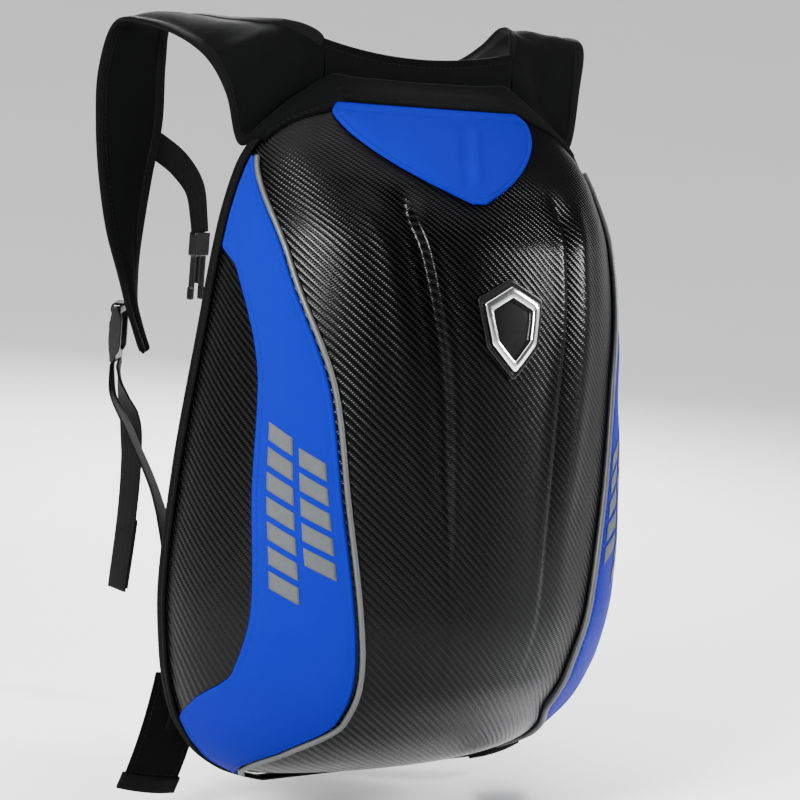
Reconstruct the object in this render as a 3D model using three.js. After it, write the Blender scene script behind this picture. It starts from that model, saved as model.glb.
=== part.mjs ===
// Hard shell backpack: a moulded shell with two cloth side panels, a padded back, shoulder straps in
// the arch that a wearer gives them, webbing, buckles and two short waist wings.
// Millimetres, +Z up, +X to the right of someone who faces the shell, +Y towards the wearer.
// The origin lies on the wearer's face of the back, level with the top of the shell.

import * as THREE from 'three';

// Driving dimensions

// shell
const SHELL_HEIGHT = 465;
const SHELL_HALF_WIDTH = 170;
const SHELL_DEPTH = 141;
const SHELL_WALL = 4.5;
const GROOVE_DEPTH = 4.4;
const EDGE_CREST = 1.8;
const SEAT_GAP = 0.4;

// back
const BACK_THICKNESS = 22;
const BACK_EDGE_ROUND = 9;
const BACK_TAPER = 14;
const BACK_MARGIN = 1;
const BAND_DEPTH = 9;
const BAND_THICKNESS = 2.4;
const BAND_BEVEL = 1;

// side panels and their piping
const PANEL_THICKNESS = 1.6;
const PIPING_RADIUS = 2.2;
const PIPING_TO_PANEL = 3.6;

// top flap and badge
const FLAP_HALF_WIDTH = 76;
const FLAP_OFFSET = -5;
const FLAP_DROP = 67;
const FLAP_THICKNESS = 3.2;
const BADGE_HEIGHT = 62;
const BADGE_HALF_WIDTH = 25;
const BADGE_DROP = 140;
const BADGE_BASE_THICKNESS = 1.8;
const BADGE_MARK_THICKNESS = 1.8;
const BADGE_FRAME_OUTER_SHARE = 0.84;
const BADGE_FRAME_INNER_SHARE = 0.62;

// yoke and shoulder straps
const YOKE_TOP = 33;
const YOKE_DIP = 24;
const YOKE_BOTTOM = -9;
const PAD_THICKNESS = 9.2;
const STRAP_SPREAD = 138;
const STRAP_REACH = 208;
const STRAP_RISE = 42;
const STRAP_DROP = 205;

// webbing and buckles
const WEBBING_WIDTH = 25;
const WEBBING_THICKNESS = 1.8;
const CHEST_WEBBING_WIDTH = 20;
const LOCK_WIDTH = 34;
const LOCK_HEIGHT = 40;
const LOCK_THICKNESS = 9;
const LOCK_GROOVE = 2.5;
const LOCK_STANDOFF = 1.5;
const LOCK_SAG = 11;
const TAIL_LENGTH = 172;
const WEBBING_SPLIT = 5;
const TAB_TOP_WIDTH = 32;
const TAB_BOTTOM_WIDTH = 48;
const TAB_HEIGHT = 34;
const TAB_THICKNESS = 1.8;
const CHEST_HANG = 66;
const CHEST_BUCKLE_THICKNESS = 7;
const CHEST_BUCKLE_TURN = 25;
const TONGUE_LENGTH = 50;
const TONGUE_WIDTH = 18;
const SOCKET_LENGTH = 31;
const SOCKET_WIDTH = 24;

// waist wings
const WING_WIDTH = 42;
const WING_LENGTH = 84;
const WING_THICKNESS = 5;
const WING_SPLAY = 13;
const WING_CURL = 16;

const RIM_Y = -BACK_THICKNESS;
const BACK_TOP = YOKE_BOTTOM - 2 * SEAT_GAP;

// Tables

// Outline of the shell. level: share of the height from the top. width and depth: shares of the
// half width and of the depth there.
const OUTLINE = [
  { level: 0.0, width: 0.4, depth: 0.0 },
  { level: 0.012, width: 0.46, depth: 0.14 },
  { level: 0.03, width: 0.57, depth: 0.25 },
  { level: 0.055, width: 0.67, depth: 0.36 },
  { level: 0.085, width: 0.755, depth: 0.47 },
  { level: 0.12, width: 0.805, depth: 0.59 },
  { level: 0.2, width: 0.86, depth: 0.8 },
  { level: 0.35, width: 0.914, depth: 0.93 },
  { level: 0.55, width: 0.978, depth: 0.98 },
  { level: 0.7, width: 1.0, depth: 1.0 },
  { level: 0.8, width: 0.975, depth: 0.93 },
  { level: 0.88, width: 0.92, depth: 0.75 },
  { level: 0.94, width: 0.82, depth: 0.54 },
  { level: 0.975, width: 0.7, depth: 0.34 },
  { level: 0.992, width: 0.58, depth: 0.16 },
  { level: 1.0, width: 0.5, depth: 0.0 },
];

// Lines on the shell, as degrees round each section from the middle of the front.
// crest: edge of the middle panel. shoulder: far side of the groove beside it. The groove is deepest
// at a share of the way between the two.
const RIBS = [
  { level: 0.0, crest: 20, shoulder: 36, relief: 0 },
  { level: 0.12, crest: 23.5, shoulder: 37, relief: 0 },
  { level: 0.16, crest: 23, shoulder: 34, relief: 1 },
  { level: 0.2, crest: 22.3, shoulder: 31, relief: 1 },
  { level: 0.3, crest: 20.8, shoulder: 27.2, relief: 1 },
  { level: 0.4, crest: 19.4, shoulder: 24, relief: 0.95 },
  { level: 0.5, crest: 17.6, shoulder: 21.2, relief: 0.8 },
  { level: 0.6, crest: 15.4, shoulder: 19, relief: 0.4 },
  { level: 0.7, crest: 14.6, shoulder: 18.4, relief: 0.1 },
  { level: 0.85, crest: 14.5, shoulder: 18.5, relief: 0 },
  { level: 1.0, crest: 14.5, shoulder: 18.5, relief: 0 },
];
const GROOVE_PLACE_SHARE = 0.22;

// piping: front edge of the side panel. rear: its rear edge.
const SIDE_LINES = [
  { level: 0.1, piping: 78, rear: 88 },
  { level: 0.21, piping: 61, rear: 88 },
  { level: 0.25, piping: 57, rear: 77 },
  { level: 0.4, piping: 43, rear: 64 },
  { level: 0.55, piping: 37, rear: 61 },
  { level: 0.7, piping: 32, rear: 58 },
  { level: 0.8, piping: 30, rear: 62 },
  { level: 0.86, piping: 31, rear: 76 },
  { level: 0.92, piping: 44, rear: 88 },
  { level: 0.96, piping: 60, rear: 88 },
  { level: 1.0, piping: 78, rear: 88 },
];
const PANEL_TOP_LEVEL = 0.1;
const PANEL_BOTTOM_LEVEL = 0.983;

// Levels at which the shell is cut into sections
const LEVELS = [
  0, 0.012, 0.03, 0.055, 0.08, 0.1, 0.13, 0.17, 0.21, 0.25, 0.3, 0.35, 0.4, 0.46, 0.52, 0.58,
  0.64, 0.7, 0.75, 0.8, 0.84, 0.88, 0.915, 0.94, 0.963, 0.983, 0.993, 1,
];

// Flap. level: share of the flap's drop. width: share of its half width.
const FLAP = [
  { level: 0.13, width: 0.92 },
  { level: 0.24, width: 1.0 },
  { level: 0.36, width: 0.96 },
  { level: 0.5, width: 0.85 },
  { level: 0.64, width: 0.69 },
  { level: 0.78, width: 0.48 },
  { level: 0.9, width: 0.26 },
  { level: 1.0, width: 0.06 },
];

// Badge. level: share of its height. width: share of its half width.
const BADGE = [
  { level: 0.0, width: 0.04 },
  { level: 0.1, width: 0.52 },
  { level: 0.2, width: 1.0 },
  { level: 0.36, width: 0.94 },
  { level: 0.52, width: 0.86 },
  { level: 0.68, width: 0.79 },
  { level: 0.84, width: 0.42 },
  { level: 1.0, width: 0.04 },
];

// Left shoulder strap by its two edges. x: share of the spread, y: share of the reach behind the
// rim, z: share of the rise when positive and of the drop when negative.
const LEFT_STRAP = [
  { neckX: 0.547, neckY: 0.03, neckZ: 0.78, outX: 0.547, outY: 0.03, outZ: -0.044 },
  { neckX: 0.575, neckY: 0.035, neckZ: 0.86, outX: 0.75, outY: 0.03, outZ: -0.098 },
  { neckX: 0.605, neckY: 0.07, neckZ: 0.94, outX: 0.95, outY: 0.034, outZ: -0.195 },
  { neckX: 0.63, neckY: 0.16, neckZ: 1.0, outX: 0.99, outY: 0.1, outZ: -0.044 },
  { neckX: 0.652, neckY: 0.29, neckZ: 0.99, outX: 0.985, outY: 0.23, outZ: 0.26 },
  { neckX: 0.667, neckY: 0.48, neckZ: 0.96, outX: 0.978, outY: 0.43, outZ: 0.58 },
  { neckX: 0.674, neckY: 0.72, neckZ: 0.96, outX: 0.985, outY: 0.72, outZ: 0.78 },
  { neckX: 0.674, neckY: 0.91, neckZ: 0.8, outX: 1.0, outY: 0.91, outZ: 0.7 },
  { neckX: 0.63, neckY: 0.99, neckZ: 0.1, outX: 1.007, outY: 0.99, outZ: -0.018 },
  { neckX: 0.616, neckY: 1.0, neckZ: -0.187, outX: 0.993, outY: 1.0, outZ: -0.204 },
  { neckX: 0.66, neckY: 0.995, neckZ: -0.39, outX: 0.964, outY: 0.985, outZ: -0.4 },
  { neckX: 0.695, neckY: 0.99, neckZ: -0.585, outX: 0.927, outY: 0.945, outZ: -0.585 },
  { neckX: 0.7, neckY: 1.0, neckZ: -0.72, outX: 0.88, outY: 0.9, outZ: -0.72 },
  { neckX: 0.685, neckY: 1.0, neckZ: -0.86, outX: 0.82, outY: 0.875, outZ: -0.86 },
  { neckX: 0.61, neckY: 0.99, neckZ: -1.0, outX: 0.72, outY: 0.88, outZ: -1.0 },
];

// Right shoulder strap in the same terms, as its mirror image. It stands up at its root, folds over
// there and droops until it joins the left one's course.
const RIGHT_STRAP = [
  { neckX: 0.547, neckY: 0.03, neckZ: 0.78, outX: 0.547, outY: 0.03, outZ: -0.044 },
  { neckX: 0.553, neckY: 0.045, neckZ: 0.98, outX: 0.75, outY: 0.03, outZ: -0.098 },
  { neckX: 0.575, neckY: 0.075, neckZ: 1.14, outX: 0.95, outY: 0.034, outZ: -0.16 },
  { neckX: 0.6, neckY: 0.12, neckZ: 1.2, outX: 1.01, outY: 0.045, outZ: 0.3 },
  { neckX: 0.625, neckY: 0.19, neckZ: 1.15, outX: 1.05, outY: 0.085, outZ: 1.0 },
  { neckX: 0.645, neckY: 0.3, neckZ: 0.85, outX: 1.055, outY: 0.19, outZ: 1.1 },
  { neckX: 0.66, neckY: 0.45, neckZ: 0.55, outX: 1.04, outY: 0.4, outZ: 0.85 },
  { neckX: 0.667, neckY: 0.62, neckZ: 0.42, outX: 1.02, outY: 0.62, outZ: 0.5 },
  { neckX: 0.667, neckY: 0.85, neckZ: 0.38, outX: 1.01, outY: 0.8, outZ: 0.4 },
  { neckX: 0.63, neckY: 0.97, neckZ: -0.04, outX: 1.007, outY: 0.95, outZ: -0.05 },
  ...LEFT_STRAP.slice(-6),
];

const YOKE_HALF_WIDTH = STRAP_SPREAD * LEFT_STRAP[0].neckX - 2 * SEAT_GAP;

// Places: shares of the strap's length, of the shell's half width and height, and of the strap's
// spread and drop.
const LOCK_SHARE = 0.93;
const ANCHOR_SIDE_SHARE = 0.72;
const ANCHOR_LEVEL_SHARE = 0.86;
const WING_SIDE_SHARE = 0.785;
const WING_LEVEL_SHARE = 0.859;
const CHEST_SIDE_SHARE = 0.62;
const CHEST_LEVEL_SHARE = 0.26;
const BACK_CORNER_LEVEL = 0.17;

// Webbing. drop, out, back and rise: shares of its length, downward, to +X, to +Y and upward.
// run: share of the straight way from the lock to the anchor. turn: direction across the webbing.
const TAIL = [
  { out: 0, back: 0, drop: 0, turnX: 0.5, turnY: 0.86 },
  { out: 0, back: 0, drop: 0.04, turnX: 0.5, turnY: 0.86 },
  { out: 0.029, back: 0.006, drop: 0.14, turnX: 0.2, turnY: 0.98 },
  { out: 0.07, back: 0.006, drop: 0.25, turnX: -0.14, turnY: 0.99 },
  { out: 0.087, back: 0, drop: 0.42, turnX: -0.14, turnY: 0.99 },
  { out: 0.081, back: -0.012, drop: 0.65, turnX: -0.1, turnY: 0.99 },
  { out: 0.047, back: -0.029, drop: 1, turnX: -0.05, turnY: 1 },
];
const LOWER_RUN = [
  { run: 0, out: 0, rise: 0, turnX: 0.5, turnY: 0.86, turnZ: 0 },
  { run: 0, out: 0, rise: -0.027, turnX: 0.5, turnY: 0.86, turnZ: 0 },
  { run: 0.1, out: -0.019, rise: -0.015, turnX: 0.5, turnY: 0.86, turnZ: 0 },
  { run: 0.3, out: -0.019, rise: 0.038, turnX: 0.52, turnY: 0.85, turnZ: 0 },
  { run: 0.5, out: 0, rise: 0.053, turnX: 0.56, turnY: 0.82, turnZ: 0 },
  { run: 0.75, out: 0.008, rise: 0.023, turnX: 0.8, turnY: 0.55, turnZ: 0.1 },
  { run: 1, out: 0.023, rise: 0, turnX: 1, turnY: 0.1, turnZ: 0 },
];
const CHEST_RUN = [
  { out: -0.18, back: 0, drop: -0.06, turnX: 0.2, turnY: 0, turnZ: 1 },
  { out: 0.06, back: 0.015, drop: 0.06, turnX: 0.35, turnY: 0, turnZ: 0.94 },
  { out: 0.33, back: 0.045, drop: 0.23, turnX: 0.6, turnY: 0.1, turnZ: 0.8 },
  { out: 0.545, back: 0.045, drop: 0.485, turnX: 0.85, turnY: 0.3, turnZ: 0.4 },
  { out: 0.62, back: 0.03, drop: 0.82, turnX: 0.9, turnY: 0.4, turnZ: 0.1 },
  { out: 0.64, back: 0.015, drop: 1, turnX: 0.9, turnY: 0.42, turnZ: 0 },
];

// Edge of the back. behind: share of the way from the rim to the wearer's face. taper and round:
// shares of the back's taper and of its edge's radius.
const BACK_SECTION = [
  { behind: 0, taper: 0, round: 0 },
  { behind: 0.58, taper: 0.55, round: 0 },
  { behind: 0.87, taper: 0.85, round: 0.1 },
  { behind: 1, taper: 1, round: 0.6 },
];

// Section of a padded band. across: share of its width. full: share of its half thickness.
const PAD_SECTION = [
  { across: 0, full: 0.36 },
  { across: 0.1, full: 0.82 },
  { across: 0.5, full: 1 },
  { across: 0.9, full: 0.82 },
  { across: 1, full: 0.36 },
];

// Small helpers

const radians = THREE.MathUtils.degToRad;
const degrees = THREE.MathUtils.radToDeg;

/** Value of a table's column at a level, through the rows on a smooth line that never overshoots. */
function along(rows, column, level) {
  const last = rows.length - 1;
  if (level <= rows[0].level) return rows[0][column];
  if (level >= rows[last].level) return rows[last][column];
  let i = 0;
  while (rows[i + 1].level < level) i += 1;
  const slope = (k) => (rows[k + 1][column] - rows[k][column]) / (rows[k + 1].level - rows[k].level);
  const tangent = (k) => {
    if (k === 0) return slope(0);
    if (k === last) return slope(last - 1);
    const before = slope(k - 1);
    const after = slope(k);
    return before * after > 0 ? (2 * before * after) / (before + after) : 0;
  };
  const span = rows[i + 1].level - rows[i].level;
  const t = (level - rows[i].level) / span;
  const start = (1 + 2 * t) * (1 - t) ** 2 * rows[i][column] + t * (1 - t) ** 2 * span * tangent(i);
  const end = t * t * (3 - 2 * t) * rows[i + 1][column] + t * t * (t - 1) * span * tangent(i + 1);
  return start + end;
}

const steps = (count) => Array.from({ length: count + 1 }, (_, i) => i / count);

/** Closed mesh from corner points and faces of three or four corner numbers. */
function geometryFrom(points, faces) {
  const positions = [];
  for (const face of faces) {
    for (let k = 1; k + 1 < face.length; k += 1) {
      for (const corner of [face[0], face[k], face[k + 1]]) positions.push(...points[corner].toArray());
    }
  }
  const geometry = new THREE.BufferGeometry();
  geometry.setAttribute('position', new THREE.Float32BufferAttribute(positions, 3));
  geometry.computeVertexNormals();
  return geometry;
}

/** The same body seen in a mirror, left to right. */
function mirrored(geometry) {
  const copy = geometry.clone().applyMatrix4(new THREE.Matrix4().makeScale(-1, 1, 1));
  const position = copy.attributes.position;
  for (let i = 0; i < position.count; i += 3) {
    const a = new THREE.Vector3().fromBufferAttribute(position, i + 1);
    const b = new THREE.Vector3().fromBufferAttribute(position, i + 2);
    position.setXYZ(i + 1, b.x, b.y, b.z);
    position.setXYZ(i + 2, a.x, a.y, a.z);
  }
  copy.computeVertexNormals();
  return copy;
}

/** Sheet between two grids of the same size, closed round its border. */
function sheetBetween(outer, inner) {
  const rows = outer.length;
  const columns = outer[0].length;
  const points = [...outer.flat(), ...inner.flat()];
  const front = (r, c) => r * columns + c;
  const back = (r, c) => rows * columns + r * columns + c;
  const faces = [];
  for (let r = 0; r + 1 < rows; r += 1) {
    for (let c = 0; c + 1 < columns; c += 1) {
      faces.push([front(r, c), front(r + 1, c), front(r + 1, c + 1), front(r, c + 1)]);
      faces.push([back(r, c), back(r, c + 1), back(r + 1, c + 1), back(r + 1, c)]);
    }
  }
  for (let c = 0; c + 1 < columns; c += 1) {
    faces.push([front(0, c), front(0, c + 1), back(0, c + 1), back(0, c)]);
    faces.push([front(rows - 1, c + 1), front(rows - 1, c), back(rows - 1, c), back(rows - 1, c + 1)]);
  }
  for (let r = 0; r + 1 < rows; r += 1) {
    faces.push([front(r + 1, 0), front(r, 0), back(r, 0), back(r + 1, 0)]);
    faces.push([front(r, columns - 1), front(r + 1, columns - 1), back(r + 1, columns - 1),
      back(r, columns - 1)]);
  }
  return geometryFrom(points, faces);
}

/** Body through a row of closed rings, open like a tyre if it comes round to its start. */
function loft(rings, closed = false) {
  const count = rings[0].length;
  const points = rings.flat();
  const faces = [];
  const total = closed ? rings.length : rings.length - 1;
  for (let r = 0; r < total; r += 1) {
    const next = ((r + 1) % rings.length) * count;
    for (let k = 0; k < count; k += 1) {
      const after = (k + 1) % count;
      faces.push([r * count + k, r * count + after, next + after, next + k]);
    }
  }
  if (!closed) {
    const lastRing = (rings.length - 1) * count;
    faces.push([...rings[0].keys()].reverse());
    faces.push([...rings[0].keys()].map((k) => lastRing + k));
  }
  return geometryFrom(points, faces);
}

/** Turns a body right side out if its faces point in. */
function facingOut(geometry) {
  const p = geometry.attributes.position;
  let volume = 0;
  const a = new THREE.Vector3();
  const b = new THREE.Vector3();
  const c = new THREE.Vector3();
  for (let i = 0; i < p.count; i += 3) {
    a.fromBufferAttribute(p, i);
    b.fromBufferAttribute(p, i + 1);
    c.fromBufferAttribute(p, i + 2);
    volume += a.dot(b.cross(c));
  }
  if (volume >= 0) return geometry;
  return mirrored(geometry).applyMatrix4(new THREE.Matrix4().makeScale(-1, 1, 1));
}

// The shell's surface

const widthAt = (level) => SHELL_HALF_WIDTH * along(OUTLINE, 'width', level);
const depthAt = (level) => SHELL_DEPTH * along(OUTLINE, 'depth', level);

/** Point on the smooth outside of the shell: an ellipse at each level, degrees from its front. */
function shellPoint(level, angle) {
  const turn = radians(angle);
  return new THREE.Vector3(
    widthAt(level) * Math.sin(turn),
    RIM_Y - depthAt(level) * Math.cos(turn),
    -SHELL_HEIGHT * level,
  );
}

/** Outward direction there. Along the rim it lies in the rim's plane. */
function shellNormal(level, angle) {
  if (level === 0 || level === 1) return new THREE.Vector3(0, 0, level === 0 ? 1 : -1);
  const levelStep = 0.004;
  const angleStep = 0.5;
  const above = Math.max(0, level - levelStep);
  const below = Math.min(1, level + levelStep);
  const down = shellPoint(below, angle).sub(shellPoint(above, angle));
  const round = shellPoint(level, angle + angleStep).sub(shellPoint(level, angle - angleStep));
  const normal = down.cross(round).normalize();
  if (Math.abs(angle) === 90) normal.setY(0).normalize();
  return normal;
}

const raised = (level, angle, height) => shellPoint(level, angle)
  .addScaledVector(shellNormal(level, angle), height);

/** Degrees at which the shell's surface has come forward of the binding band. */
function bandLimit(level) {
  const share = Math.min(0.35, (BAND_DEPTH + 2 * SEAT_GAP) / Math.max(1, depthAt(level)));
  return degrees(Math.acos(share));
}

/** The lines that run down one side of the shell, as degrees at a level. */
function sideLines(level) {
  const perDegree = radians(1) * Math.hypot(widthAt(level), depthAt(level)) * Math.SQRT1_2;
  const margin = PIPING_TO_PANEL / perDegree;
  const rear = Math.min(along(SIDE_LINES, 'rear', level), bandLimit(level));
  const panel = Math.min(along(SIDE_LINES, 'piping', level) + margin, rear - margin);
  const piping = panel - margin;
  const crest = Math.min(along(RIBS, 'crest', level), 0.34 * piping);
  const shoulder = Math.min(along(RIBS, 'shoulder', level), 0.7 * piping);
  return { crest, shoulder, piping, panel, rear };
}

/** Height of the moulded relief over the smooth surface, for each line of a section. */
function columnsAt(level) {
  const { crest, shoulder, piping, panel, rear } = sideLines(level);
  const relief = along(RIBS, 'relief', level);
  const between = (a, b, t) => a + (b - a) * t;
  const half = [
    { at: crest / 3, up: 0 },
    { at: (crest * 2) / 3, up: 0 },
    { at: crest, up: EDGE_CREST * relief },
    { at: between(crest, shoulder, GROOVE_PLACE_SHARE), up: -GROOVE_DEPTH * relief },
    { at: shoulder, up: 0 },
    { at: between(shoulder, piping, 0.5), up: 0 },
    { at: piping, up: 0 },
    { at: panel, up: 0 },
    { at: between(panel, rear, 0.5), up: 0 },
    { at: rear, up: 0 },
    { at: between(rear, 90, 0.55), up: 0 },
    { at: 90, up: 0 },
  ];
  const left = half.map(({ at, up }) => ({ at: -at, up })).reverse();
  return [...left, { at: 0, up: 0 }, ...half];
}

function hardShell() {
  const grid = (inset) => LEVELS.map((level) => columnsAt(level)
    .map(({ at, up }) => raised(level, at, up - inset)));
  return facingOut(sheetBetween(grid(0), grid(SHELL_WALL)));
}

function sidePanel() {
  const levels = LEVELS.filter((level) => level >= PANEL_TOP_LEVEL && level <= PANEL_BOTTOM_LEVEL);
  const layer = (height) => levels.map((level) => {
    const { panel, rear } = sideLines(level);
    return steps(4).map((t) => raised(level, -(panel + (rear - panel) * t), height));
  });
  return facingOut(sheetBetween(layer(2 * SEAT_GAP + PANEL_THICKNESS), layer(2 * SEAT_GAP)));
}

function piping() {
  const sides = 8;
  const levels = LEVELS.filter((level) => level >= PANEL_TOP_LEVEL && level <= PANEL_BOTTOM_LEVEL);
  const spots = levels.map((level) => ({ level, at: -sideLines(level).piping }));
  const centre = spots.map(({ level, at }) => raised(level, at, SEAT_GAP + PIPING_RADIUS));
  const rings = spots.map(({ level, at }, i) => {
    const before = centre[Math.max(0, i - 1)];
    const after = centre[Math.min(centre.length - 1, i + 1)];
    const tangent = after.clone().sub(before).normalize();
    const up = shellNormal(level, at);
    const across = tangent.clone().cross(up).normalize();
    const over = across.clone().cross(tangent).normalize();
    return steps(sides).slice(0, sides).map((t) => centre[i].clone()
      .addScaledVector(across, PIPING_RADIUS * Math.cos(2 * Math.PI * t))
      .addScaledVector(over, PIPING_RADIUS * Math.sin(2 * Math.PI * t)));
  });
  return facingOut(loft(rings));
}

/** Rim of the shell as a closed loop of points in the rim's plane, pushed out by a distance. */
function rimLoop(distance) {
  const side = LEVELS.map((level) => shellPoint(level, 90));
  const loop = [...side, ...side.map((p) => new THREE.Vector3(-p.x, p.y, p.z)).reverse()];
  return loop.map((point, i) => {
    const before = loop[(i + loop.length - 1) % loop.length];
    const after = loop[(i + 1) % loop.length];
    const normals = [point.clone().sub(before), after.clone().sub(point)]
      .map((edge) => new THREE.Vector3(-edge.z, 0, edge.x).normalize());
    const middle = normals[0].clone().add(normals[1]).normalize();
    return point.clone().addScaledVector(middle, distance / middle.dot(normals[0]));
  });
}

function rearBinding() {
  const near = rimLoop(SEAT_GAP);
  const far = rimLoop(SEAT_GAP + BAND_THICKNESS);
  const rings = near.map((p, i) => [
    p.clone().setY(RIM_Y - BAND_DEPTH),
    far[i].clone().setY(RIM_Y - BAND_DEPTH + BAND_BEVEL),
    far[i].clone().setY(RIM_Y),
    p.clone().setY(RIM_Y),
  ]);
  return facingOut(loft(rings, true));
}

/** Outline of the padded back: straight top, corners cut clear of the strap roots. */
function backOutline(sideInset, topInset, y) {
  const topHalf = YOKE_HALF_WIDTH - BACK_EDGE_ROUND - sideInset / 2;
  const side = LEVELS.filter((level) => level >= BACK_CORNER_LEVEL)
    .map((level) => raised(level, 90, -sideInset - BACK_MARGIN).setY(y));
  const half = [new THREE.Vector3(topHalf, y, BACK_TOP - topInset), ...side];
  const other = half.map((p) => new THREE.Vector3(-p.x, y, p.z)).reverse();
  return [...half, ...other];
}

/** Back panel, narrower towards the wearer, with a rounded edge on that side. */
function backPanel() {
  return facingOut(loft(BACK_SECTION.map(({ behind, taper, round }) => backOutline(
    BACK_TAPER * taper + BACK_EDGE_ROUND * round,
    BACK_EDGE_ROUND * round,
    (RIM_Y + SEAT_GAP) * (1 - behind),
  ))));
}

/**
 * Sheet on the front of the shell, its middle line set off to a side. rows: depth below the shell's
 * top and half width there.
 */
function surfaceSheet(rows, count, offset, height, thickness, crown) {
  const columns = steps(count).map((t) => 2 * t - 1);
  const layer = (base, extra) => rows.map(({ drop, half }) => {
    const level = drop / SHELL_HEIGHT;
    const reach = degrees(Math.asin(Math.min(0.97, half / widthAt(level))));
    const middle = degrees(Math.asin(offset / widthAt(level)));
    return columns.map((c) => raised(level, middle + reach * c, base + extra * (1 - c ** 4)));
  });
  return facingOut(sheetBetween(layer(height + thickness - crown, crown), layer(height, 0)));
}

function topFlap() {
  const rows = FLAP.map((row) => ({ drop: row.level * FLAP_DROP, half: row.width * FLAP_HALF_WIDTH }));
  return surfaceSheet(rows, 12, FLAP_OFFSET, 2 * SEAT_GAP, FLAP_THICKNESS, 0.4 * FLAP_THICKNESS);
}

const badgeTop = BADGE_DROP - BADGE_HEIGHT / 2;

function badgeBase() {
  const rows = BADGE.map((row) => ({
    drop: badgeTop + row.level * BADGE_HEIGHT, half: row.width * BADGE_HALF_WIDTH,
  }));
  return surfaceSheet(rows, 6, 0, 2 * SEAT_GAP, BADGE_BASE_THICKNESS, 0);
}

/** Raised frame on the badge, between two smaller copies of the badge's outline. */
function badgeMark() {
  const low = 3 * SEAT_GAP + BADGE_BASE_THICKNESS;
  const outline = (scale) => {
    const side = BADGE.map((row) => [row.width * BADGE_HALF_WIDTH * scale, (row.level - 0.5) * scale]);
    return [...side, ...side.map(([x, z]) => [-x, z]).reverse()];
  };
  const spot = ([x, z], height) => {
    const level = (BADGE_DROP + z * BADGE_HEIGHT) / SHELL_HEIGHT;
    return raised(level, degrees(Math.asin(x / widthAt(level))), height);
  };
  const inner = outline(BADGE_FRAME_INNER_SHARE);
  const rings = outline(BADGE_FRAME_OUTER_SHARE).map((edge, i) => [
    spot(edge, low), spot(edge, low + BADGE_MARK_THICKNESS),
    spot(inner[i], low + BADGE_MARK_THICKNESS), spot(inner[i], low),
  ]);
  return facingOut(loft(rings, true));
}

/** Padded band between two edges: rounded at the edges and full in the middle. */
function paddedBand(neck, outer, thickness) {
  const middle = neck.map((p, i) => p.clone().lerp(outer[i], 0.5));
  const rings = neck.map((p, i) => {
    const before = middle[Math.max(0, i - 1)];
    const after = middle[Math.min(middle.length - 1, i + 1)];
    const tangent = after.clone().sub(before);
    const wide = outer[i].clone().sub(p);
    const normal = tangent.cross(wide).normalize();
    const side = (sign) => PAD_SECTION.map(({ across, full }) => p.clone().lerp(outer[i], across)
      .addScaledVector(normal, sign * full * thickness * 0.5));
    return [...side(1), ...side(-1).reverse()];
  });
  return facingOut(loft(rings));
}

function yoke() {
  const spots = steps(10).map((t) => 2 * t - 1);
  const y = RIM_Y + LEFT_STRAP[0].neckY * STRAP_REACH;
  const neck = spots.map((t) => new THREE.Vector3(
    t * YOKE_HALF_WIDTH, y, YOKE_DIP + (YOKE_TOP - YOKE_DIP) * t * t));
  const outer = spots.map((t) => new THREE.Vector3(
    t * YOKE_HALF_WIDTH, y, YOKE_BOTTOM));
  return paddedBand(neck, outer, PAD_THICKNESS);
}

/** One edge of a strap, on the left, as a smooth curve through its table's rows. */
function strapEdge(rows, name) {
  const points = rows.map((row) => {
    const z = row[`${name}Z`];
    return new THREE.Vector3(
      -STRAP_SPREAD * row[`${name}X`],
      RIM_Y + STRAP_REACH * row[`${name}Y`],
      (z > 0 ? STRAP_RISE : STRAP_DROP) * z,
    );
  });
  return new THREE.CatmullRomCurve3(points, false, 'centripetal');
}

function shoulderStrap(rows) {
  const spots = steps(28);
  const neck = strapEdge(rows, 'neck');
  const outer = strapEdge(rows, 'out');
  return paddedBand(spots.map((t) => neck.getPoint(t)), spots.map((t) => outer.getPoint(t)),
    PAD_THICKNESS);
}

/** Flat webbing along a smooth path. faces: direction across the webbing at each point. */
function webbing(path, faces, width) {
  const curve = new THREE.CatmullRomCurve3(path, false, 'centripetal');
  const turn = new THREE.CatmullRomCurve3(faces, false, 'centripetal');
  const rings = steps(4 * (path.length - 1)).map((t) => {
    const centre = curve.getPoint(t);
    const tangent = curve.getTangent(t);
    const across = turn.getPoint(t).addScaledVector(tangent, -turn.getPoint(t).dot(tangent)).normalize();
    const normal = tangent.clone().cross(across).normalize();
    const corner = (a, n) => centre.clone()
      .addScaledVector(across, (a * width) / 2)
      .addScaledVector(normal, (n * WEBBING_THICKNESS) / 2);
    return [corner(-1, -1), corner(1, -1), corner(1, 1), corner(-1, 1)];
  });
  return facingOut(loft(rings));
}

// What hangs from a strap is placed from the strap itself.

/** Middle of the left strap at a share of its length, with its directions there. */
function strapSeat(share) {
  const neck = strapEdge(LEFT_STRAP, 'neck');
  const outer = strapEdge(LEFT_STRAP, 'out');
  const middle = (t) => neck.getPoint(t).lerp(outer.getPoint(t), 0.5);
  const across = outer.getPoint(share).sub(neck.getPoint(share)).normalize();
  const tangent = middle(share + 0.01).sub(middle(share - 0.01)).normalize();
  const outward = tangent.clone().cross(across).normalize();
  return { centre: middle(share), across, outward };
}

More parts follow.
